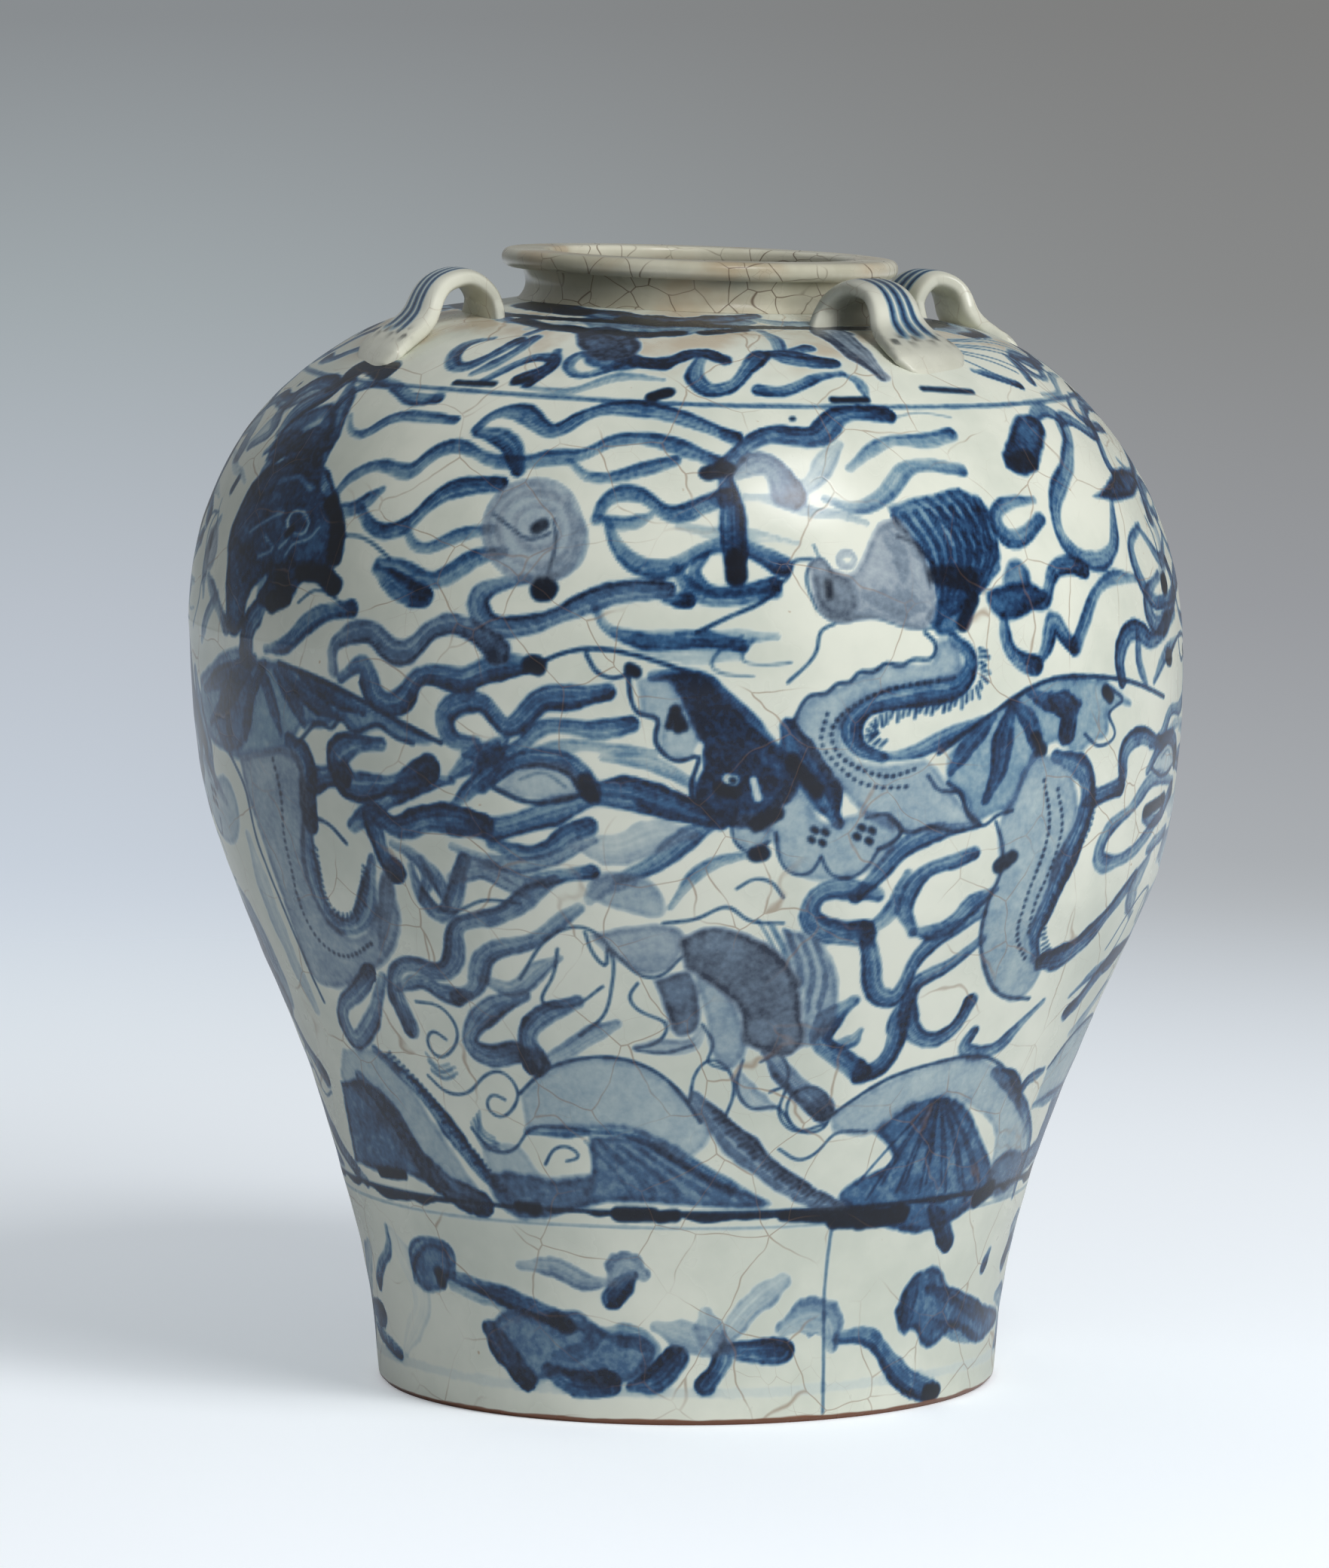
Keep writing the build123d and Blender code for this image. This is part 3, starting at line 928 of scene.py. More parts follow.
def right_dragon() -> list[Stroke]:
    """The head, the spotted wings and the coiled body at the right.

    Returns:
        The strokes, in the order in which they are laid.
    """
    return [
        wash("face", 0.42, 1075, 750, 1090, 742, 1105, 758, 1125, 765, 1148, 735, 1165, 700, 1190, 690, 1215, 720,
             1235, 760, 1242, 800, 1230, 832, 1190, 828, 1150, 820, 1110, 825, 1088, 808, 1078, 780, grey=1.0),
        wash("muzzle", 0.40, 1078, 768, 1100, 758, 1130, 775, 1134, 812, 1105, 822, 1085, 802, grey=1.0),
        streak("cheek", 6.0, 1150, 790, 1190, 800, 1225, 805, strength=0.35, grey=1.0),
        line("nose", 1084, 808, 1072, 778, 1076, 750, 1090, 742, 1104, 760, strength=0.7),
        dab("nostril", 2.6, 1099, 775, 1101, 790, strength=0.75),
        line("jaw", 1088, 812, 1106, 824, 1150, 819, 1200, 832, 1240, 834, strength=0.6),
        streak("nose curl", 1.7, *loop(1124, 743, 10, 9), strength=0.5, grey=0.9),
        line("brow", 1192, 712, 1215, 722, 1238, 748, width=1.0),
        streak("brow shade", 4.0, 1170, 700, 1195, 735, 1200, 770, strength=0.3, grey=1.0),
        line("whisker", 1030, 778, 1046, 766, 1054, 746, 1078, 742),
        line("long whisker", 925, 840, 975, 816, 1018, 795, 1036, 778, width=0.8),
        line("beard hair", 1108, 828, 1090, 838, 1085, 860, 1068, 886, 1046, 906),
        line("loose hair", 1080, 724, 1088, 742, strength=0.5),
        wash("mane", 0.5, 1180, 674, 1215, 660, 1245, 655, 1270, 648, 1296, 664, 1312, 700, 1328, 738, 1300, 772,
             1286, 800, 1290, 816, 1272, 838, 1245, 842, 1243, 800, 1236, 760, 1212, 722, 1190, 704),
        fan("mane hair", 16, 1186, 684, 1222, 730, 1240, 800, 1300, 664, 1322, 720, 1288, 806, strength=0.95),
        fan("mane hair across", 8, 1215, 664, 1260, 700, 1300, 760, 1270, 650, 1300, 690, 1322, 735, strength=0.8),
        streak("mane edge", 3.8, 1296, 662, 1312, 694, 1322, 735, strength=0.8),
        dab("mane shadow", 6.4, 1244, 764, 1288, 768, strength=0.75),
        dab("mane root", 4.4, 1292, 795, 1278, 830, strength=0.8),
        streak("ear", 7.0, 1240, 820, 1270, 790, 1300, 770, 1322, 752, strength=0.7),
        ribbon("curl behind the mane", 3.8, 1372, 664, 1338, 668, 1322, 690, 1334, 712, 1358, 712, 1381, 688,
               strength=0.75),
        wash("pale knot", 0.45, 1330, 765, 1340, 745, 1358, 748, 1366, 775, 1350, 785, 1332, 782),
        wash("knot", 0.68, 1308, 785, 1330, 778, 1375, 778, 1392, 790, 1372, 808, 1350, 822, 1318, 814, 1308, 798),
        ribbon("knot's arm", 4.4, 1362, 800, 1386, 798, 1392, 780, 1398, 760, 1418, 750, 1438, 756, strength=0.85),
        ribbon("knot's drop", 4.2, 1332, 818, 1336, 850, 1352, 876, 1374, 884, strength=0.85),
        ribbon("its wave", 4.0, 1376, 884, 1390, 855, 1398, 825, 1412, 842, 1426, 860, strength=0.8),
        ribbon("its tail", 3.6, 1506, 768, 1478, 767, 1454, 788, 1442, 820, 1428, 858, strength=0.75),
        wash("comma", 0.7, 1330, 602, 1342, 572, 1358, 550, 1380, 560, 1382, 600, 1374, 622, 1352, 630, 1336, 620),
        dab("comma's end", 6.6, 1350, 614, 1366, 610, strength=0.85),
        streak("great loop", 4.2, 1366, 562, 1388, 545, 1406, 556, 1418, 590, 1412, 630, 1400, 672, 1408, 710, 1430,
               738, 1460, 745, 1478, 725, 1478, 690, 1474, 660, strength=0.72),
        wash("bud", 0.78, 1450, 660, 1470, 643, 1490, 622, 1506, 634, 1506, 656, 1480, 664),
        ribbon("bud's stalk", 3.2, 1450, 568, 1462, 595, 1474, 622, 1488, 640, strength=0.8),
        ribbon("upper leaf", 3.0, 1418, 528, 1426, 546, 1445, 562, 1462, 568, strength=0.8),
        streak("leaf edge", 2.6, 1420, 524, 1450, 544, 1482, 574, strength=0.7),
        ribbon("edge leaf", 4.2, 1496, 602, 1510, 640, 1526, 688, strength=0.8),
        ribbon("edge ring", 3.6, 1512, 698, 1501, 725, 1512, 765, 1528, 796, 1546, 798, 1556, 774, 1548, 748,
               strength=0.82),
        streak("edge ring's arm", 3.0, 1508, 698, 1524, 720, 1538, 742, 1542, 706, strength=0.7),
        ribbon("edge hook", 4.8, 1558, 812, 1545, 832, 1528, 850, 1508, 836, 1492, 850, 1486, 880, 1490, 905,
               strength=0.88),
        streak("edge hook's arm", 3.6, 1510, 840, 1512, 880, 1522, 908, strength=0.75),
        streak("edge strand", 3.2, 1560, 848, 1545, 872, 1532, 904, strength=0.7),
        wash("neck and first coil", 0.30, 1060, 988, 1055, 960, 1075, 928, 1110, 912, 1150, 892, 1200, 880, 1240, 872,
             1245, 852, 1262, 852, 1275, 870, 1275, 890, 1255, 905, 1200, 912, 1150, 928, 1122, 950, 1115, 975, 1130,
             1004, 1180, 1016, 1230, 1010, 1270, 1060, 1300, 1092, 1250, 1104, 1190, 1104, 1150, 1084, 1120, 1050,
             1090, 1020, grey=0.25),
        line("coil's outer edge", 1050, 966, 1060, 944, 1078, 923, 1098, 920, 1112, 908, 1128, 906, 1140, 893, 1160,
             892, 1176, 881, 1196, 884, 1212, 876, 1236, 874, 1242, 856, 1228, 840, width=0.8),
        streak("coil's dark back", 5.6, 1266, 848, 1288, 872, 1280, 903, 1240, 918, 1190, 927, 1150, 940, 1130, 966,
               1138, 992, 1172, 1006, strength=0.9),
        streak("back runs on", 3.4, 1166, 1006, 1210, 1000, 1252, 980, 1304, 954, strength=0.75),
        spines("comb of the coil", 3.0, 1300, 862, 1302, 902, 1276, 926, 1230, 936, 1190, 944, 1156, 962, 1150, 980,
               1176, 994),
        dots("scales", 1246, 904, 1200, 911, 1160, 923, 1124, 944, 1104, 970, 1112, 1000, 1142, 1021, 1182, 1031,
             1222, 1018),
        dots("outer scales", 1098, 948, 1090, 984, 1108, 1012, 1136, 1036, 1172, 1046, 1212, 1044, width=0.75),
        line("coil's belly edge", 1232, 1030, 1248, 1050, 1272, 1052, 1284, 1078, 1302, 1094, width=0.8),
        line("lobes below", 1150, 1086, 1180, 1082, 1200, 1104, 1236, 1098, 1262, 1104, 1300, 1096, width=0.8),
        wash("dark wing", 0.88, 884, 897, 920, 892, 960, 922, 1000, 962, 1040, 1003, 1062, 1030, 1048, 1062, 1016,
             1084, 1000, 1098, 962, 1094, 932, 1076, 924, 1042, 936, 1014, 930, 985, 915, 955, 905, 925),
        streak("wing's leading edge", 5.0, 866, 898, 905, 896, 950, 922, 1000, 968, 1048, 1010, strength=0.98),
        streak("wing's inner fold", 6.0, 905, 915, 945, 950, 985, 1000, 1030, 1040, strength=0.7),
        streak("wing's lower fold", 6.0, 940, 990, 960, 1030, 990, 1070, strength=0.7),
        wash("pale wing edge", 0.26, 846, 902, 882, 897, 905, 930, 922, 960, 932, 985, 925, 1002, 905, 1010, 880,
             1000, 872, 962, 850, 948, grey=0.2),
        line("wing's top line", 716, 880, 745, 868, 800, 862, 850, 872, 900, 888, 940, 905, width=0.9, strength=0.9),
        line("wing's lobes", 834, 886, 836, 920, 850, 948, 872, 954, 870, 978, 880, 1000, 905, 1010, 926, 1004, 918,
             1040, 924, 1066, 950, 1082, width=1.0, strength=0.9),
        line("tip lobe", 778, 868, 790, 890, 815, 900, 842, 892, width=0.9),
        dab("tip mark", 3.4, 836, 888, 844, 892),
        dab("claw", 3.4, 896, 944, 900, 966),
        dab("claw's side", 2.4, 888, 964, 892, 952),
        dab("claw's other side", 2.4, 908, 966, 903, 954),
        dab("wing mark", 4.0, 955, 1048, 975, 1052),
        wipe_or_highlight("wing eye", 3.2, 966, 1034, 974, 1036),
        dab("wing pupil", 1.5, 972, 1036, 974, 1037),
        wipe_or_highlight("wing spot", 2.2, 925, 998, 930, 990),
        wipe_or_highlight("wing light", 2.4, 1000, 1036, 1006, 1060),
        streak("wing's tail", 8.4, 1046, 966, 1060, 1000, 1086, 1040, 1112, 1094, strength=0.98),
        dab("tail's shadow", 4.6, 1052, 1010, 1084, 1050),
        dab("wing's root shadow", 4.6, 1004, 1094, 1030, 1080),
        wash("tail lobes", 0.28, 1000, 1100, 1035, 1062, 1062, 1052, 1090, 1090, 1140, 1080, 1180, 1086, 1190, 1110,
             1165, 1150, 1130, 1166, 1090, 1170, 1052, 1160, 1030, 1130, 1025, 1106, grey=0.2),
        wash("small lobe", 0.28, 975, 1086, 1000, 1080, 1022, 1096, 1012, 1126, 990, 1130, 972, 1110, grey=0.2),
        line("small lobe's edge", 970, 1090, 976, 1118, 1000, 1132, 1020, 1118),
        line("first lobe", 1030, 1106, 1035, 1140, 1052, 1160, 1076, 1158, 1090, 1138),
        line("second lobe", 1090, 1138, 1102, 1160, 1130, 1165, 1155, 1146, 1166, 1128),
        line("third lobe", 1166, 1128, 1186, 1118, 1196, 1100, 1180, 1086, width=1.0),
        *[dab(f"flower {k}", 1.7, x, y, x + 3, y + 2) for k, (x, y) in enumerate((
            (1080, 1101), (1094, 1104), (1076, 1114), (1090, 1118), (1142, 1098), (1156, 1102), (1136, 1110),
            (1152, 1116)))],
        dab("heavy end", 4.6, 1003, 1135, 1012, 1133, strength=0.9),
        wash("far wing", 0.34, 1258, 1002, 1300, 960, 1340, 928, 1380, 905, 1440, 898, 1480, 912, 1502, 936, 1472,
             946, 1470, 975, 1450, 986, 1430, 1000, 1400, 985, 1380, 1000, 1360, 1030, 1346, 1070, 1320, 1080, 1300,
             1090, 1280, 1062, 1256, 1040),
        line("far wing's top", 1246, 1000, 1300, 960, 1342, 930, 1384, 906, 1440, 898, 1500, 905, 1545, 925,
             width=1.1, strength=0.85),
        line("far wing's lobes", 1258, 1040, 1276, 1054, 1284, 1080, 1306, 1096, 1322, 1084, 1344, 1076, width=0.8),
        line("far wing's tip", 1470, 912, 1490, 930, 1472, 948, 1480, 972, 1458, 990, 1440, 975, width=0.8),
        streak("first feather", 5.2, 1346, 934, 1332, 980, 1326, 1020, 1308, 1064, strength=0.88),
        streak("second feather", 4.8, 1350, 936, 1368, 962, 1376, 1000, strength=0.85),
        streak("third feather", 5.0, 1318, 952, 1290, 985, 1262, 1024, strength=0.8),
        streak("fourth feather", 4.2, 1366, 920, 1400, 936, 1432, 934, strength=0.85),
        ribbon("dark feather", 6.0, 1396, 926, 1420, 946, 1416, 974, strength=0.9),
        dab("far wing's mark", 4.0, 1467, 918, 1474, 926),
        dab("far wing's claw", 3.4, 1374, 978, 1384, 996, strength=0.85),
        wash("second coil", 0.30, 1370, 1002, 1400, 1006, 1426, 1040, 1430, 1080, 1414, 1130, 1395, 1180, 1376, 1220,
             1364, 1258, 1382, 1290, 1360, 1322, 1330, 1326, 1305, 1290, 1300, 1240, 1310, 1190, 1326, 1150, 1324,
             1100, 1342, 1060, grey=0.2),
        streak("second coil's back", 6.6, 1402, 1004, 1438, 1022, 1444, 1060, 1434, 1100, 1412, 1150, 1392, 1200,
               1374, 1240, 1374, 1272, strength=0.92),
        ribbon("tail end", 6.0, 1506, 1162, 1480, 1200, 1446, 1240, 1412, 1268, 1384, 1276, strength=0.96),
        ribbon("side fin", 5.0, 1440, 1066, 1462, 1056, 1486, 1044, strength=0.88),
        spines("second comb", 2.6, 1396, 1270, 1388, 1226, 1410, 1176, 1432, 1130, 1450, 1090, 1456, 1040),
        dots("second scales", 1386, 1036, 1393, 1080, 1388, 1122, 1374, 1162, 1360, 1200, 1350, 1240, 1362, 1278),
        dots("outer second scales", 1404, 1048, 1410, 1090, 1402, 1132, 1386, 1172, 1370, 1212, 1364, 1246,
             width=0.75),
        line("second coil's edge", 1322, 1092, 1330, 1120, 1328, 1160, 1312, 1196, 1302, 1240, 1306, 1282, 1330, 1322,
             1366, 1326, width=0.8),
        dab("fin root", 4.6, 1326, 1150, 1344, 1138, strength=0.8),
        ribbon("edge coil", 4.8, 1556, 972, 1536, 986, 1510, 978, 1492, 1000, 1490, 1032, strength=0.88),
        streak("edge wing", 4.2, 1556, 1036, 1524, 1040, 1500, 1075, 1466, 1110, 1458, 1136, 1486, 1142, 1516, 1116,
               1542, 1075, strength=0.66),
        dab("edge mark", 4.4, 1520, 1078, 1544, 1060, strength=0.85),
        streak("edge tail", 6.0, 1524, 1140, 1504, 1180, 1500, 1215, strength=0.6, grey=0.3),
        streak("far edge line", 3.2, 1536, 1200, 1500, 1240, 1452, 1290, 1420, 1322, strength=0.75),
        ribbon("far edge tail", 5.2, 1502, 1240, 1452, 1300, 1430, 1330, 1416, 1344, strength=0.88),
    ]


def left_dragon() -> list[Stroke]:
    """The dark head, the feathered wing and the body at the left.

    Returns:
        The strokes, in the order in which they are laid.
    """
    return [
        wash("dark head", 0.78, 352, 624, 400, 600, 430, 610, 428, 650, 446, 668, 456, 700, 450, 742, 436, 750, 456,
             776, 440, 788, 415, 764, 398, 778, 384, 798, 370, 790, 352, 804, 340, 790, 348, 768, 330, 792, 320, 838,
             305, 840, 300, 800, 302, 740, 308, 700, 320, 670, 335, 642),
        streak("head's crown", 7.0, 318, 690, 345, 650, 385, 625, 425, 632, 442, 668, strength=0.85),
        streak("head's cheek", 7.0, 312, 720, 330, 752, 372, 762, 412, 752, strength=0.85),
        wipe_or_highlight("eye ring", 1.0, *loop(396, 694, 14, 16), strength=0.7),
        wipe_or_highlight("muzzle line", 0.9, 378, 738, 390, 722, 410, 715, 424, 700, strength=0.6),
        wipe_or_highlight("muzzle's second line", 0.9, 370, 728, 384, 712, 380, 690, strength=0.6),
        dab("eye", 2.8, 382, 708, 388, 702),
        wipe_or_highlight("brow light", 1.2, 332, 706, 352, 692, 376, 680, strength=0.5),
        wipe_or_highlight("cheek light", 1.2, 342, 740, 362, 728, 352, 712, strength=0.5),
        wipe_or_highlight("jaw light", 2.4, 352, 768, 338, 790, 330, 806, strength=0.6),
        wipe_or_highlight("mane light", 2.0, 372, 640, 398, 634, 412, 650, strength=0.35),
        dab("dark mane", 6.0, 440, 668, 448, 700, 444, 738),
        dab("dark jaw", 6.0, 400, 760, 428, 764, 444, 778),
        dab("dark cheek", 6.0, 372, 770, 380, 790, 360, 800),
        wash("crest", 0.6, 352, 612, 366, 584, 385, 560, 410, 546, 440, 536, 446, 560, 434, 600, 400, 608),
        streak("crest's ridge", 8.0, 352, 622, 378, 594, 410, 584, 436, 590, strength=0.9),
        streak("blue crest", 5.4, 468, 505, 455, 540, 442, 575, 430, 612, strength=0.82),
        streak("crest's top", 7.5, 372, 572, 400, 542, 432, 524, 462, 506, strength=0.9),
        # Painted highlight: paint lifted from the dark crest where the glaze shines.
        wipe_or_highlight("painted highlight on the crest", 2.6, 384, 588, 402, 572, 424, 560, strength=0.5),
        ribbon("crest's curl", 3.8, 445, 512, 405, 528, 372, 545, 362, 570, 332, 592, strength=0.7, grey=0.3),
        ribbon("crest's mark", 4.4, 352, 600, 376, 582, 400, 588, strength=0.85),
        dab("edge dot", 3.2, 308, 650, 316, 636, strength=0.7),
        ribbon("edge strokes", 4.2, 276, 765, 286, 795, 300, 832, strength=0.75, grey=0.4),
        ribbon("low jaw stroke", 4.2, 352, 862, 376, 858, 400, 836, 430, 815, 467, 808, strength=0.85),
        ribbon("throat", 6.0, 352, 800, 330, 832, 326, 868, strength=0.9),
        line("hair by the jaw", 396, 800, 415, 785, 436, 788, 458, 806),
        ribbon("first thick tongue", 5.4, 442, 890, 442, 862, 466, 842, 496, 842, 522, 866, 546, 862, 570, 838, 605,
               829, 640, 845, 660, 864, strength=0.86, grey=0.3),
        ribbon("second thick tongue", 5.4, 452, 900, 484, 884, 492, 912, 510, 934, 534, 930, 552, 902, 580, 896, 610,
               902, 650, 888, 708, 882, strength=0.9),
        dab("seed at its end", 5.2, 703, 882, 712, 884),
        wash("wing's far side", 0.45, 266, 900, 285, 876, 330, 872, 326, 985, 300, 996, 280, 980, 268, 945),
        streak("wing's far feather", 4.0, 338, 874, 305, 890, 272, 915, strength=0.9),
        streak("wing's second far feather", 4.0, 336, 880, 304, 925, 280, 958, strength=0.9),
        streak("far mane", 4.4, 292, 690, 276, 730, 270, 790, strength=0.6, grey=0.3),
        streak("far mane's second lock", 4.0, 288, 790, 274, 820, 268, 850, strength=0.7, grey=0.3),
        wash("feathered wing", 0.42, 300, 892, 350, 876, 400, 890, 450, 915, 520, 955, 575, 985, 540, 987, 500, 968,
             470, 972, 455, 955, 430, 966, 400, 966, 390, 985, 360, 1002, 330, 1006, 302, 1000, 285, 960),
        line("wing's upper edge", 370, 880, 430, 905, 490, 936, 560, 974, 585, 986, width=1.2, strength=0.9),
        line("wing's lower edge", 392, 990, 408, 972, 426, 960, 440, 967, 452, 955, 466, 970, 500, 962, 520, 976, 548,
             988, width=0.9),
        *[streak(f"feather {k}", 4.0, *p, strength=0.9) for k, p in enumerate((
            (350, 880, 332, 930, 326, 980), (372, 886, 402, 920, 446, 950), (402, 898, 440, 922, 482, 946),
            (345, 886, 360, 930, 372, 972), (312, 890, 302, 935, 308, 990), (366, 890, 392, 935, 404, 962)))],
        ribbon("dark root", 6.4, 384, 984, 404, 1010, 408, 1045, 412, 1092, strength=0.95),
        ribbon("root's arm", 6.4, 404, 1042, 430, 1032, 456, 1028, strength=0.95),
        ribbon("great hook", 6.4, 506, 988, 470, 988, 446, 1008, 458, 1036, 500, 1044, 540, 1038, 568, 1020,
               strength=0.92),
        line("claw hair", 410, 1082, 438, 1096, 460, 1120, width=1.0),
        wash("body", 0.40, 318, 1006, 360, 994, 396, 1004, 406, 1080, 408, 1150, 430, 1212, 460, 1242, 494, 1222, 512,
             1160, 528, 1200, 516, 1270, 492, 1292, 450, 1312, 420, 1302, 385, 1220, 350, 1120, grey=0.5),
        line("body's outer edge", 305, 1000, 325, 1045, 335, 1090, 350, 1140, 370, 1190, 395, 1250, 430, 1330,
             width=0.9),
        streak("body's dark back", 5.6, 408, 1060, 408, 1120, 418, 1176, 442, 1222, 468, 1230, 488, 1196, 494, 1140,
               strength=0.8, grey=0.2),
        spines("body's comb", 2.4, 482, 1150, 478, 1190, 462, 1214, 442, 1206, 428, 1170, 420, 1120),
        dots("body's scales", 362, 1008, 372, 1050, 376, 1100, 386, 1150, 398, 1200, 425, 1250, 460, 1270, 498, 1250),
        streak("far edge wing", 4.4, 268, 1000, 282, 1030, 300, 1064, strength=0.5, grey=0.5),
        streak("far edge body", 8.0, 330, 1110, 352, 1180, 384, 1262, 420, 1340, strength=0.3, grey=0.5),
        streak("body's second limb", 4.0, 515, 1150, 512, 1200, 506, 1260, strength=0.55, grey=0.3),
        ribbon("knot", 6.2, 468, 1096, 498, 1080, 520, 1096, 560, 1090, 600, 1088, 640, 1096, strength=0.9),
        ribbon("knot's drop", 6.0, 486, 1084, 500, 1110, 512, 1142, 524, 1156, strength=0.92),
        streak("knot's crest", 4.4, 496, 1082, 520, 1058, 560, 1040, 600, 1036, strength=0.8),
    ]


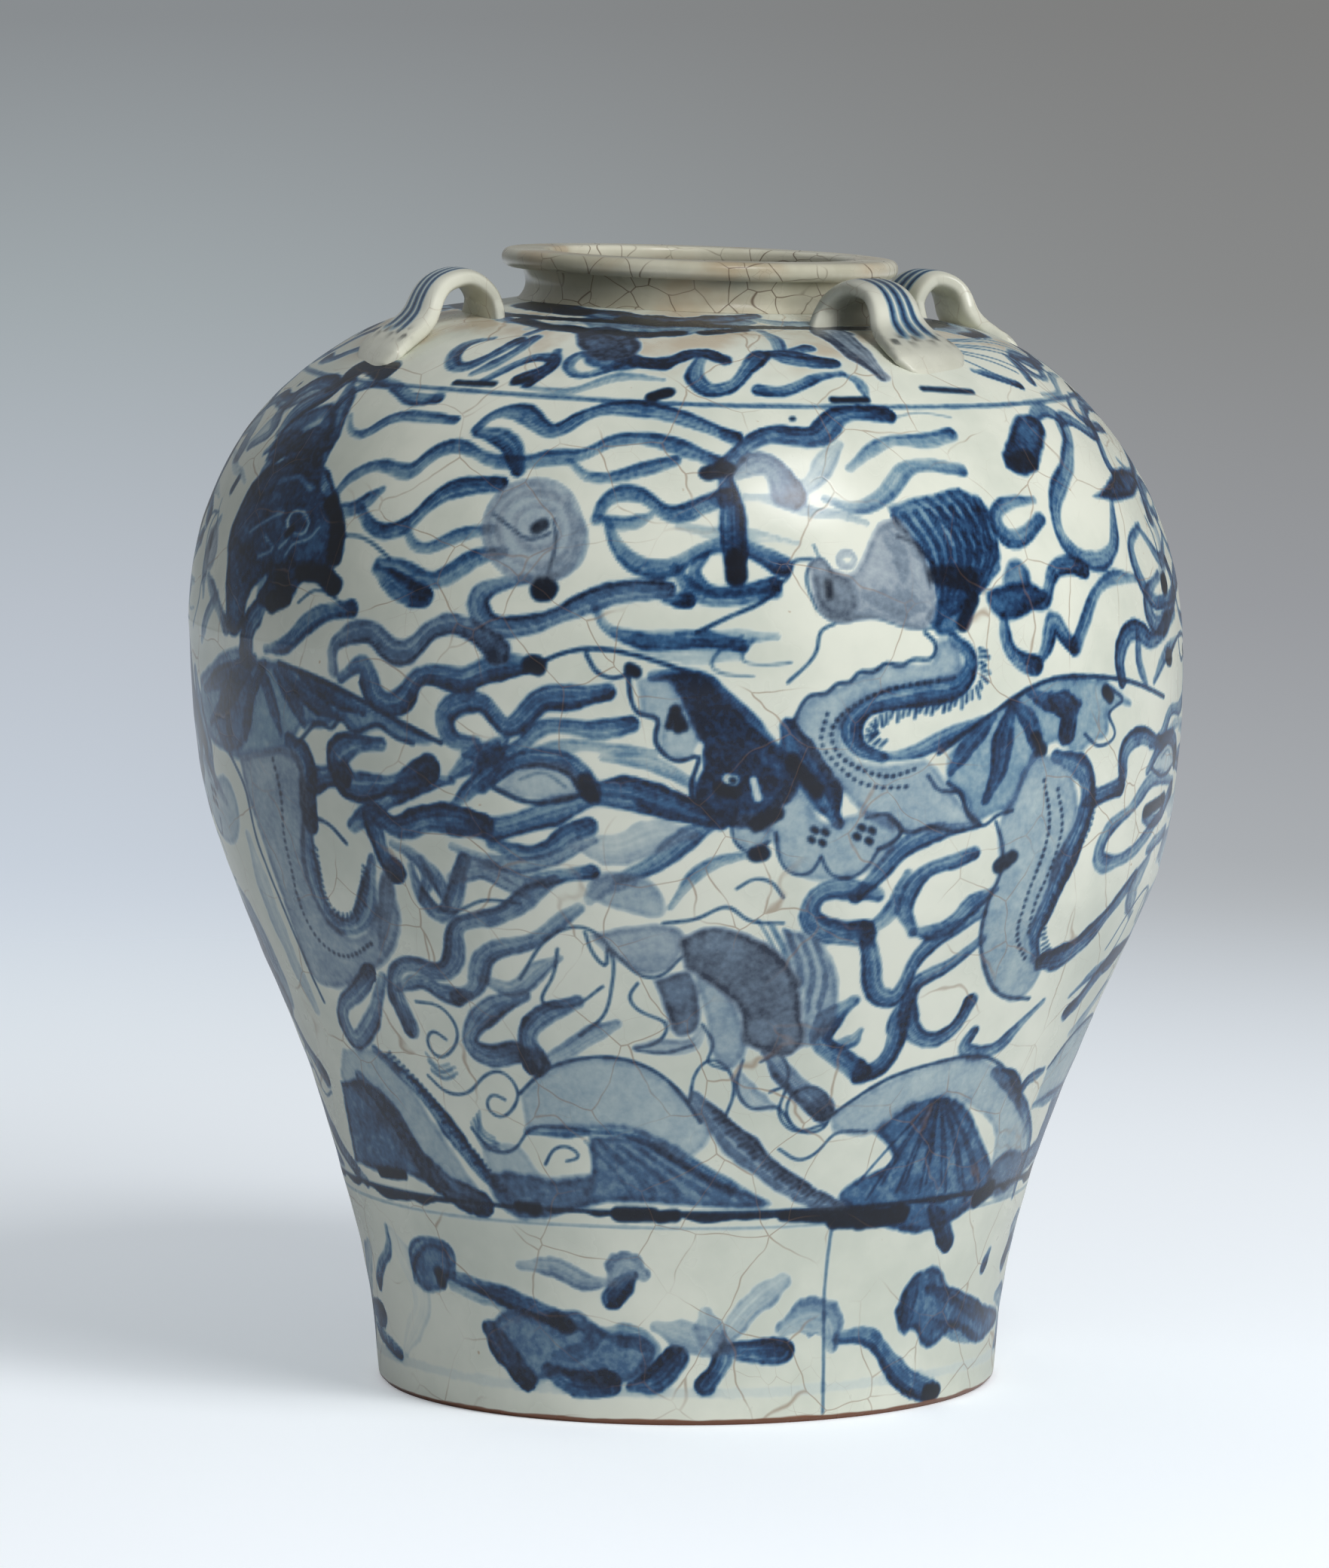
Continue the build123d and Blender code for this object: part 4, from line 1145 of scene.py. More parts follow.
def middle_clouds() -> list[Stroke]:
    """The tangle of clouds between the two dragons.

    Returns:
        The strokes, in the order in which they are laid.
    """
    return [
        ribbon("ring and tongue", 5.0, 632, 986, 600, 980, 590, 955, 612, 934, 645, 938, 672, 966, 700, 948, 720, 930,
               760, 926, 806, 918, strength=0.88),
        ribbon("tongue under it", 3.8, 640, 1006, 690, 992, 712, 970, 745, 964, 790, 970, 838, 962, strength=0.68),
        ribbon("leaf's upper edge", 4.6, 640, 1046, 680, 1014, 730, 1008, 770, 1028, 784, 1050, strength=0.88),
        wash("leaf", 0.22, 660, 1046, 690, 1018, 740, 1014, 772, 1040, 760, 1058, 700, 1062, grey=0.4),
        line("leaf's lower edge", 655, 1046, 690, 1062, 740, 1064, 780, 1052, width=1.2),
        line("leaf's vein", 690, 1035, 720, 1026, 750, 1044, strength=0.4),
        dab("leaf's end", 4.6, 776, 1036, 784, 1056, strength=0.85),
        ribbon("long root", 5.8, 786, 1048, 826, 1046, 870, 1060, 912, 1076, 956, 1088, strength=0.9),
        streak("root's shadow", 3.0, 786, 1062, 830, 1066, 880, 1078, 940, 1094, strength=0.75),
        streak("band under the leaf", 6.0, 600, 1100, 660, 1100, 720, 1082, 790, 1062, strength=0.72),
        streak("band's edge", 4.4, 602, 1070, 632, 1040, 668, 1012, strength=0.82),
        streak("band's twist", 4.4, 600, 1030, 636, 1004, 660, 990, strength=0.75),
        streak("ring's inside", 4.4, 618, 1000, 650, 1000, 672, 980, strength=0.75),
        ribbon("cone", 4.4, 652, 1120, 690, 1132, 730, 1126, 758, 1106, 780, 1098, strength=0.78),
        streak("lower web", 3.4, 600, 1124, 640, 1140, 690, 1150, 740, 1138, 790, 1116, strength=0.6, grey=0.2),
        streak("thin arm", 3.0, 800, 1006, 850, 1010, 900, 1030, 948, 1062, strength=0.45),
        streak("upper thin arm", 2.8, 700, 1000, 760, 990, 820, 996, 870, 1000, strength=0.4),
        streak("web by the knot", 3.4, 520, 1120, 548, 1136, 566, 1160, 560, 1196, strength=0.7, grey=0.2),
        streak("pale cloud over the beast", 7.0, 760, 1120, 820, 1128, 870, 1110, 920, 1108, strength=0.28, grey=0.5),
        line("curl over the beast", 978, 1180, 1000, 1168, 1024, 1172, 1040, 1192),
        ribbon("short bar", 3.8, 700, 1172, 735, 1165, 786, 1158, strength=0.72),
        streak("root's lower arm", 5.0, 820, 1168, 870, 1146, 905, 1118, 948, 1094, strength=0.66),
        streak("fine arm", 2.4, 890, 1205, 925, 1160, 960, 1142, 1006, 1133, strength=0.55),
        wash("pale patch", 0.28, 775, 1190, 790, 1165, 830, 1160, 872, 1180, 880, 1216, 850, 1216, 800, 1202,
             grey=0.4),
        streak("patch's stroke", 5.0, 782, 1195, 800, 1175, 840, 1172, strength=0.4, grey=0.3),
        ribbon("beard, first", 4.0, 545, 1150, 560, 1190, 584, 1214, 600, 1200, 610, 1160, 616, 1142, strength=0.78,
               grey=0.2),
        streak("beard, second", 3.4, 560, 1140, 580, 1168, 596, 1205, strength=0.7, grey=0.2),
        streak("beard, third", 3.8, 600, 1166, 640, 1158, 668, 1172, 700, 1190, strength=0.6, grey=0.3),
        streak("beard, fourth", 3.4, 620, 1142, 650, 1150, 690, 1170, 720, 1168, strength=0.55, grey=0.3),
        line("beard hair", 560, 1180, 590, 1210, 640, 1196, 690, 1200),
        ribbon("low tongue", 4.8, 736, 1168, 700, 1190, 660, 1216, 606, 1232, 602, 1272, 585, 1290, 555, 1282, 530,
               1284, 524, 1310, 536, 1345, 545, 1366, strength=0.82, grey=0.25),
        ribbon("second low tongue", 4.6, 768, 1206, 740, 1226, 700, 1252, 655, 1262, 638, 1280, 630, 1312, 606, 1326,
               strength=0.72, grey=0.25),
        streak("joining stroke", 4.8, 528, 1312, 560, 1304, 590, 1320, 624, 1322, strength=0.8, grey=0.2),
        streak("third low tongue", 4.2, 640, 1300, 680, 1314, 712, 1290, 742, 1272, strength=0.55, grey=0.3),
        ribbon("low hook", 6.0, 694, 1322, 660, 1335, 632, 1360, 626, 1386, 652, 1402, 684, 1396, strength=0.78,
               grey=0.25),
        ribbon("second low hook", 6.0, 766, 1330, 722, 1348, 700, 1380, 712, 1412, strength=0.85, grey=0.2),
        streak("its tail", 4.4, 714, 1412, 750, 1396, 785, 1374, 818, 1360, strength=0.5, grey=0.3),
        line("thin web", 690, 1300, 735, 1240, 775, 1232, 810, 1262, 812, 1310, 800, 1350, 770, 1375),
        line("thin web, right", 740, 1260, 732, 1300, 720, 1330, 760, 1335, 800, 1310),
        ribbon("left low ring", 5.0, 508, 1298, 500, 1335, 488, 1366, 468, 1378, 456, 1352, 470, 1320, 492, 1294,
               strength=0.76, grey=0.2),
        ribbon("right arm, first", 4.4, 1296, 1096, 1242, 1106, 1196, 1130, 1166, 1162, 1135, 1190, strength=0.75),
        ribbon("right arm, second", 4.2, 1212, 1238, 1200, 1205, 1212, 1176, 1240, 1152, 1266, 1144, 1292, 1133,
               strength=0.75),
        ribbon("right knot", 6.0, 1165, 1188, 1122, 1180, 1086, 1190, 1076, 1216, 1100, 1236, 1145, 1240,
               strength=0.78),
        streak("knot's inside", 4.4, 1145, 1240, 1178, 1216, 1196, 1182, 1205, 1160, strength=0.6),
        streak("right arm, third", 4.4, 1212, 1238, 1250, 1236, 1290, 1202, 1322, 1180, strength=0.75),
        ribbon("right arm, fourth", 4.4, 1304, 1212, 1262, 1236, 1226, 1262, 1205, 1296, 1186, 1325, 1165, 1320, 1157,
               1284, 1150, 1246, strength=0.76),
        ribbon("right arm, fifth", 4.4, 1302, 1248, 1252, 1286, 1216, 1306, 1205, 1340, 1216, 1374, 1242, 1380, 1272,
               1358, 1288, 1330, strength=0.78),
        ribbon("right arm, sixth", 3.6, 1384, 1330, 1356, 1358, 1326, 1388, 1300, 1398, 1280, 1388, 1292, 1370,
               strength=0.75),
        ribbon("falling arm", 4.8, 1216, 1312, 1196, 1346, 1186, 1390, 1162, 1420, 1140, 1428, strength=0.85),
        ribbon("folded arm", 6.0, 1132, 1330, 1105, 1350, 1090, 1382, 1112, 1402, 1142, 1426, strength=0.78),
        streak("folded arm's tip", 3.6, 1108, 1388, 1134, 1380, 1142, 1368, strength=0.65),
    ]


def ground() -> list[Stroke]:
    """The beast, the hills with their grass, the curling waves and the dark line under them.

    Returns:
        The strokes, in the order in which they are laid.
    """
    return [
        wash("beast's pale head", 0.36, 780, 1242, 830, 1232, 880, 1228, 908, 1242, 902, 1272, 880, 1292, 850, 1292,
             820, 1276, grey=0.6),
        wash("beast's back", 0.74, 902, 1248, 935, 1232, 982, 1238, 1018, 1255, 1046, 1280, 1062, 1312, 1064, 1350,
             1066, 1386, 1046, 1402, 1016, 1396, 990, 1385, 984, 1350, 962, 1320, 936, 1302, 908, 1285, grey=0.75),
        wash("beast's arm", 0.66, 868, 1302, 912, 1290, 928, 1330, 920, 1372, 900, 1376, 884, 1342, grey=0.6),
        wash("beast's leg", 0.34, 920, 1292, 952, 1302, 982, 1350, 990, 1395, 970, 1420, 946, 1402, 936, 1350,
             grey=0.4),
        wash("beast's mane", 0.34, 1040, 1236, 1072, 1240, 1102, 1270, 1112, 1320, 1096, 1370, 1072, 1390, 1066, 1330,
             1050, 1280, grey=0.4),
        fan("beast's hair", 9, 1008, 1222, 1030, 1262, 1040, 1300, 1086, 1250, 1100, 1300, 1084, 1360, strength=0.6),
        line("beast's crown", 880, 1226, 930, 1218, 968, 1205, 990, 1220, 1040, 1226),
        line("beast's chin", 776, 1238, 790, 1270, 804, 1282, 806, 1262, 842, 1290, 876, 1296, 906, 1270),
        line("beast's paw", 846, 1306, 836, 1322, 852, 1344, 884, 1360, 868, 1386, 842, 1392, 876, 1398, 920, 1388),
        line("beast's shin", 932, 1360, 946, 1390, 940, 1410, 962, 1420),
        streak("beast's paw shade", 4.4, 846, 1392, 880, 1390, 920, 1386, 934, 1366, strength=0.45, grey=0.5),
        ribbon("beast's lower leg", 5.2, 1016, 1396, 1044, 1430, 1074, 1458, 1092, 1474, strength=0.85, grey=0.4),
        line("ball's rim", *loop(1074, 1474, 30, 30)),
        line("ball's curl", 1046, 1440, 1034, 1478, 1058, 1502, 1096, 1492),
        line("coils by the leg", 986, 1408, 978, 1440, 1000, 1472, 1030, 1470, 1048, 1490),
        line("coils by the leg, second", 1010, 1410, 1030, 1400, 1046, 1420, 1040, 1442, 1022, 1450),
        streak("shade of the coils", 4.4, 982, 1430, 1002, 1462, 1024, 1470, strength=0.4, grey=0.4),
        line("arch", 916, 1462, 922, 1428, 944, 1408, 966, 1420, 974, 1450, 960, 1490),
        wash("left hill", 0.26, 455, 1392, 505, 1398, 556, 1460, 606, 1536, 642, 1600, 560, 1562, 500, 1482, 452,
             1430, grey=0.3),
        wash("left hill's shade", 0.66, 452, 1436, 490, 1438, 530, 1482, 570, 1540, 604, 1584, 556, 1566, 508, 1556,
             472, 1542, grey=0.15),
        ribbon("left hill's fold", 6.6, 478, 1430, 520, 1480, 552, 1530, 596, 1578, 640, 1600, strength=0.85),
        streak("left hill's edge", 4.2, 498, 1394, 548, 1440, 598, 1500, 640, 1556, 676, 1594, strength=0.85),
        spines("left hill's comb", 3.0, 672, 1580, 636, 1536, 596, 1486, 552, 1432, 512, 1392),
        dab("left ground's pool", 3.4, 506, 1556, 536, 1560),
        line("first wave", 552, 1330, 582, 1336, 606, 1366, 600, 1394, 580, 1402, 568, 1385, 576, 1370, 592, 1380),
        line("second wave", 568, 1428, 590, 1448, 622, 1450, 642, 1430, 666, 1424, 686, 1446, 682, 1470, 660, 1482,
             647, 1468, 656, 1454, 670, 1460),
        line("third wave", 626, 1498, 652, 1526, 682, 1526, 704, 1500, 742, 1497, 782, 1502),
        line("fourth wave", 724, 1546, 734, 1528, 756, 1524, 768, 1536, 752, 1542),
        line("right wave", 1034, 1526, 1060, 1540, 1086, 1528, 1108, 1506, 1150, 1502),
        fan("foam", 5, 566, 1400, 580, 1416, 602, 1412, 574, 1424, 590, 1434, 608, 1428, strength=0.5),
        fan("second foam", 6, 636, 1476, 640, 1500, 664, 1516, 626, 1490, 640, 1520, 668, 1532, strength=0.5),
        wash("waves' pale water", 0.22, 640, 1520, 690, 1522, 720, 1560, 790, 1560, 780, 1590, 680, 1592, 650, 1560,
             grey=0.3),
        wash("middle hill", 0.25, 690, 1456, 730, 1420, 790, 1405, 850, 1415, 902, 1450, 942, 1512, 900, 1540, 860,
             1512, 800, 1498, 700, 1500, grey=0.3),
        line("middle hill's edge", 690, 1452, 720, 1424, 760, 1408, 806, 1404, 856, 1416, 896, 1444, 930, 1490,
             width=0.9),
        wash("middle hill's shade", 0.52, 782, 1508, 850, 1512, 920, 1550, 980, 1580, 1024, 1598, 950, 1604, 780,
             1602, 664, 1600, 650, 1566, 700, 1560, 740, 1568, 784, 1560, grey=0.15),
        streak("middle hill's fold", 3.2, 700, 1502, 760, 1502, 826, 1502, 884, 1526, 942, 1560, 1010, 1594,
               strength=0.75),
        fan("middle hill's grass", 9, 780, 1516, 820, 1556, 850, 1596, 880, 1530, 940, 1566, 1000, 1598,
            strength=0.55),
        streak("slope", 6.4, 922, 1456, 960, 1500, 1010, 1546, 1060, 1582, 1112, 1604, strength=0.88, grey=0.4),
        spines("slope's comb", 3.0, 1100, 1590, 1056, 1566, 1004, 1524, 950, 1470, strength=0.7),
        wash("right hill", 0.26, 1100, 1482, 1160, 1445, 1230, 1415, 1300, 1404, 1340, 1440, 1362, 1500, 1350, 1570,
             1310, 1582, 1320, 1520, 1290, 1470, 1250, 1455, 1190, 1480, 1150, 1508, 1106, 1504, grey=0.3),
        line("right hill's edge", 1096, 1486, 1130, 1462, 1180, 1432, 1240, 1412, 1300, 1402, 1330, 1416, 1352, 1450,
             width=0.9),
        wash("right hill's shade", 0.60, 1160, 1502, 1200, 1472, 1250, 1455, 1286, 1476, 1306, 1520, 1312, 1575, 1290,
             1602, 1130, 1608, 1112, 1590, 1150, 1560, 1186, 1540, 1178, 1520),
        fan("right hill's grass", 13, 1238, 1462, 1186, 1520, 1126, 1592, 1256, 1460, 1288, 1520, 1306, 1590,
            strength=0.9),
        streak("right hill's heart", 4.4, 1244, 1460, 1232, 1490, 1236, 1530, strength=0.6),
        dab("right hill's root", 5.6, 1296, 1592, 1314, 1578, strength=0.85),
        streak("right hill's outer edge", 3.0, 1342, 1440, 1362, 1482, 1360, 1540, 1344, 1588, strength=0.75),
        streak("bird's wing", 4.6, 1320, 1424, 1342, 1436, 1352, 1470, strength=0.88),
        streak("bird's other wing", 3.6, 1384, 1422, 1360, 1440, 1350, 1462, strength=0.75),
        dab("ground's first pool", 4.0, 690, 1602, 712, 1606),
        dab("ground's second pool", 4.6, 820, 1612, 866, 1613),
        dab("ground's third pool", 4.0, 876, 1616, 896, 1614),
        dab("ground's fourth pool", 3.6, 1040, 1614, 1100, 1616),
        dab("ground's great pool", 6.2, 1108, 1618, 1150, 1619, 1196, 1611),
        ribbon("ground's drip", 4.8, 1236, 1604, 1250, 1628, 1257, 1650, strength=1.0),
        streak("far right hill", 4.4, 1440, 1380, 1410, 1440, 1392, 1500, strength=0.5, grey=0.4),
    ]


def foot_band() -> list[Stroke]:
    """Sprays and clouds round the foot.

    Returns:
        The strokes, in the order in which they are laid.
    """
    return [
        ribbon("left stroke", 3.4, 512, 1628, 516, 1650, 506, 1680, 503, 1702, strength=0.75),
        ribbon("left tick", 3.0, 500, 1756, 518, 1784, 532, 1798, strength=0.9),
        streak("left mist", 9.0, 520, 1640, 560, 1720, 540, 1790, strength=0.10),
        line("old crack", 1108, 1600, 1101, 1650, 1094, 1720, 1093, 1800, 1092, 1876, width=0.7, strength=0.55),
        wash("bloom", 0.55, *loop(574, 1682, 26, 34)[:16]),
        streak("bloom's petals", 3.0, 552, 1700, 548, 1668, 572, 1650, 598, 1664, 602, 1696, strength=0.7),
        dab("bloom's heart", 4.2, 582, 1690, 586, 1702, strength=0.8),
        ribbon("stalk", 4.4, 588, 1688, 636, 1708, 690, 1730, 748, 1754, strength=0.9),
        streak("stalk's shade", 4.4, 600, 1708, 650, 1722, 700, 1730, strength=0.4),
        wash("cloud", 0.52, 650, 1758, 672, 1740, 720, 1746, 770, 1742, 800, 1765, 850, 1775, 870, 1786, 862, 1816,
             830, 1836, 790, 1840, 740, 1826, 700, 1836, 680, 1820, 664, 1790, grey=0.1),
        ribbon("cloud's left edge", 7.0, 650, 1764, 674, 1800, 700, 1830, strength=0.92),
        ribbon("cloud's under edge", 7.0, 726, 1818, 768, 1838, 806, 1838, strength=0.92),
        ribbon("cloud's tail", 6.0, 838, 1842, 870, 1832, 896, 1804, strength=0.95),
        streak("cloud's curl", 5.0, 800, 1770, 840, 1776, 866, 1796, 850, 1820, strength=0.55),
        streak("cloud's inner curl", 4.6, 740, 1800, 780, 1790, 790, 1770, 760, 1756, strength=0.45),
        dab("cloud's mark", 5.0, 738, 1752, 756, 1762, strength=0.75),
        streak("squiggle", 4.4, 690, 1680, 740, 1684, 776, 1702, 816, 1702, strength=0.5, grey=0.4),
        streak("squiggle's lobe", 7.0, 816, 1700, 828, 1680, 854, 1692, strength=0.5, grey=0.4),
        ribbon("squiggle's end", 6.0, 838, 1694, 824, 1710, 812, 1724, strength=0.88),
        streak("pale leaf", 7.4, 872, 1762, 920, 1778, 968, 1790, strength=0.38, grey=0.3),
        streak("upright leaf", 6.4, 936, 1744, 942, 1772, 950, 1796, strength=0.36, grey=0.3),
        streak("long leaf", 7.0, 1038, 1702, 996, 1736, 958, 1784, strength=0.34, grey=0.3),
        ribbon("falling leaf", 6.0, 962, 1790, 955, 1815, 936, 1840, strength=0.82),
        ribbon("right leaf", 6.0, 962, 1792, 1000, 1794, 1034, 1794, strength=0.85),
        streak("branch's cloud", 8.4, 1040, 1764, 1072, 1748, 1100, 1758, 1104, 1788, strength=0.48, grey=0.2),
        ribbon("branch", 5.6, 1112, 1776, 1148, 1774, 1180, 1808, 1206, 1836, 1236, 1848, strength=0.88),
        dab("branch's end", 4.4, 1230, 1846, 1242, 1846),
        wash("bud", 0.62, 1188, 1742, 1208, 1700, 1245, 1682, 1256, 1702, 1290, 1730, 1322, 1750, 1312, 1770, 1290,
             1782, 1260, 1766, 1240, 1786, 1220, 1780, 1214, 1766, 1196, 1770),
        streak("bud's left edge", 4.6, 1214, 1704, 1204, 1740, 1202, 1768, strength=0.75),
        streak("bud's right edge", 4.6, 1232, 1712, 1266, 1722, 1306, 1752, strength=0.8),
        streak("bud's lower edge", 4.0, 1236, 1754, 1262, 1766, 1296, 1776, strength=0.65),
        ribbon("far right stroke", 3.2, 1346, 1640, 1340, 1652, 1334, 1668, strength=0.75),
        ribbon("near right stroke", 2.8, 1313, 1660, 1309, 1670, 1305, 1682, strength=0.75),
    ]


def front_strokes() -> list[Stroke]:
    """The whole decoration on the side that the photograph shows.

    Returns:
        The strokes, in the order in which they are laid.
    """
    parts = (shoulder_band, upper_clouds, left_dragon, right_dragon, middle_clouds, ground, foot_band)
    return [stroke for part in parts for stroke in part()]


class Bench:
    """Lays out a node tree."""

    def __init__(self, tree: bpy.types.NodeTree) -> None:
        """Starts with an empty tree."""
        self.tree = tree
        tree.nodes.clear()

    def put(self, kind: str, settings: dict | None = None, **inputs: Value | bpy.types.NodeTree) -> bpy.types.Node:
        """Adds a node.

        Args:
            kind: Its type, without the ShaderNode at the front.
            settings: Its own settings.
            inputs: Values or sockets for its inputs, with underscores for spaces, or i and a number for the place.

        Returns:
            The node.
        """
        node = self.tree.nodes.new("ShaderNode" + kind)
        for key, value in (settings or {}).items():
            setattr(node, key, value)
        for key, value in inputs.items():
            place = int(key[1:]) if key[0] == "i" and key[1:].isdigit() else key.replace("_", " ")
            if isinstance(value, bpy.types.NodeSocket):
                self.tree.links.new(value, node.inputs[place])
            else:
                node.inputs[place].default_value = value
        return node

    def math(self, operation: str, *values: Value) -> bpy.types.NodeSocket:
        """A sum of one to three values."""
        return self.put("Math", {"operation": operation, "use_clamp": False},
                        **{f"i{k}": v for k, v in enumerate(values)}).outputs[0]

    def mix(self, share: Value, first: Value, second: Value) -> bpy.types.NodeSocket:
        """A mix of two colours."""
        node = self.put("Mix", {"data_type": "RGBA"}, i0=share, i6=first, i7=second)
        return node.outputs[2]

    def ramp(self, share: Value, stops: tuple) -> bpy.types.NodeSocket:
        """Adds a colour ramp.

        Args:
            share: What it runs along.
            stops: Pairs of place and colour.

        Returns:
            Its colour.
        """
        node = self.put("ValToRGB", None, Fac=share)
        elements = node.color_ramp.elements
        while len(elements) < len(stops):
            elements.new(0.5)
        for element, (place, colour) in zip(elements, stops):
            element.position, element.color = place, colour
        return node.outputs[0]

    def window(self, value: Value, low: float, high: float) -> bpy.types.NodeSocket:
        """Zero at low, one at high, smooth and held at both."""
        node = self.put("MapRange", {"interpolation_type": "SMOOTHSTEP"}, Value=value, From_Min=low, From_Max=high)
        return node.outputs[0]


@dataclass(frozen=True)
class GlazeMarks:
    """What every fired glaze shows: its crackle, its specks, its clouding and its orange-peel surface."""

    bends: tuple = ((13.0, 0.030), (60.0, 0.006))
    nets: tuple = ((1.0, 1.0), (2.3, 0.55))
    patch_scale: float = 30.0
    coarse_patches: tuple = (0.38, 0.58)
    fine_patches: tuple = (0.52, 0.72)
    fine_share: float = 0.6
    speck_scale: float = 140.0
    speck_edge: tuple = (0.03, 0.12)
    rarity_scale: float = 420.0
    rarity: tuple = (0.60, 0.68)
    cloud_scale: float = 14.0
    peel_scale: float = 260.0
    peel_share: float = 0.5
    cut_share: float = 0.6

    def build(self) -> bpy.types.NodeTree:
        """Makes the node group.

        Returns:
            The group.
        """
        group = bpy.data.node_groups.new("glaze_marks", "ShaderNodeTree")
        bench = Bench(group)
        for name, kind in (("Place", "NodeSocketVector"), ("Cell", "NodeSocketFloat"), ("Line", "NodeSocketFloat")):
            group.interface.new_socket(name, in_out="INPUT", socket_type=kind)
        for name in ("Crackle", "Specks", "Cloud", "Height"):
            group.interface.new_socket(name, in_out="OUTPUT", socket_type="NodeSocketFloat")
        given = group.nodes.new("NodeGroupInput")
        out = group.nodes.new("NodeGroupOutput")
        place = given.outputs["Place"]
        crackle = self.crackle(bench, place, given.outputs["Cell"], given.outputs["Line"])
        spot = bench.put("TexVoronoi", {"feature": "F1"}, Vector=place, Scale=self.speck_scale)
        rare = bench.put("TexNoise", None, Vector=place, Scale=self.rarity_scale, Detail=1.0)
        near = bench.math("SUBTRACT", 1.0, bench.window(spot.outputs[0], *self.speck_edge))
        specks = bench.math("MULTIPLY", near, bench.window(rare.outputs[0], *self.rarity))
        cloud = bench.put("TexNoise", None, Vector=place, Scale=self.cloud_scale, Detail=5.0, Roughness=0.6)
        peel = bench.put("TexNoise", None, Vector=place, Scale=self.peel_scale, Detail=2.0)
        cut = bench.math("MULTIPLY", crackle, self.cut_share)
        height = bench.math("SUBTRACT", bench.math("MULTIPLY", peel.outputs[0], self.peel_share), cut)
        given_out = {"Crackle": crackle, "Specks": specks, "Cloud": cloud.outputs[0], "Height": height}
        for name, value in given_out.items():
            group.links.new(value, out.inputs[name])
        return group

    def crackle(self, bench: Bench, place: Value, cell: Value, width: Value) -> bpy.types.NodeSocket:
        """Draws a coarse net of cracks and a fine one, each only in patches.

        Args:
            bench: Where the nodes go.
            place: Where on the piece it is.
            cell: The size of a cell of the coarse net.
            width: How wide its lines are.

        Returns:
            One on a crack, zero away from it.
        """
        shifted = place
        for size, reach in self.bends:
            bent = bench.put("TexNoise", None, Vector=place, Scale=size, Detail=2.0)
            shifted = bench.put("VectorMath", {"operation": "MULTIPLY_ADD"}, i0=bent.outputs["Color"],
                                i1=(reach, reach, reach), i2=shifted).outputs[0]
        scale = bench.math("DIVIDE", 1.0, cell)
        nets = []
        for factor, share in self.nets:
            edge = bench.put("TexVoronoi", {"feature": "DISTANCE_TO_EDGE"}, Vector=shifted,
                             Scale=bench.math("MULTIPLY", scale, factor))
            away = bench.put("MapRange", {"interpolation_type": "SMOOTHSTEP"}, Value=edge.outputs[0],
                             From_Min=0.0, From_Max=bench.math("MULTIPLY", width, share))
            nets.append(bench.math("SUBTRACT", 1.0, away.outputs[0]))
        patchy = bench.put("TexNoise", None, Vector=place, Scale=self.patch_scale, Detail=4.0)
        coarse = bench.math("MULTIPLY", nets[0], bench.window(patchy.outputs[0], *self.coarse_patches))
        fine = bench.math("MULTIPLY", nets[1], bench.window(patchy.outputs[0], *self.fine_patches))
        return bench.math("MAXIMUM", coarse, bench.math("MULTIPLY", fine, self.fine_share))


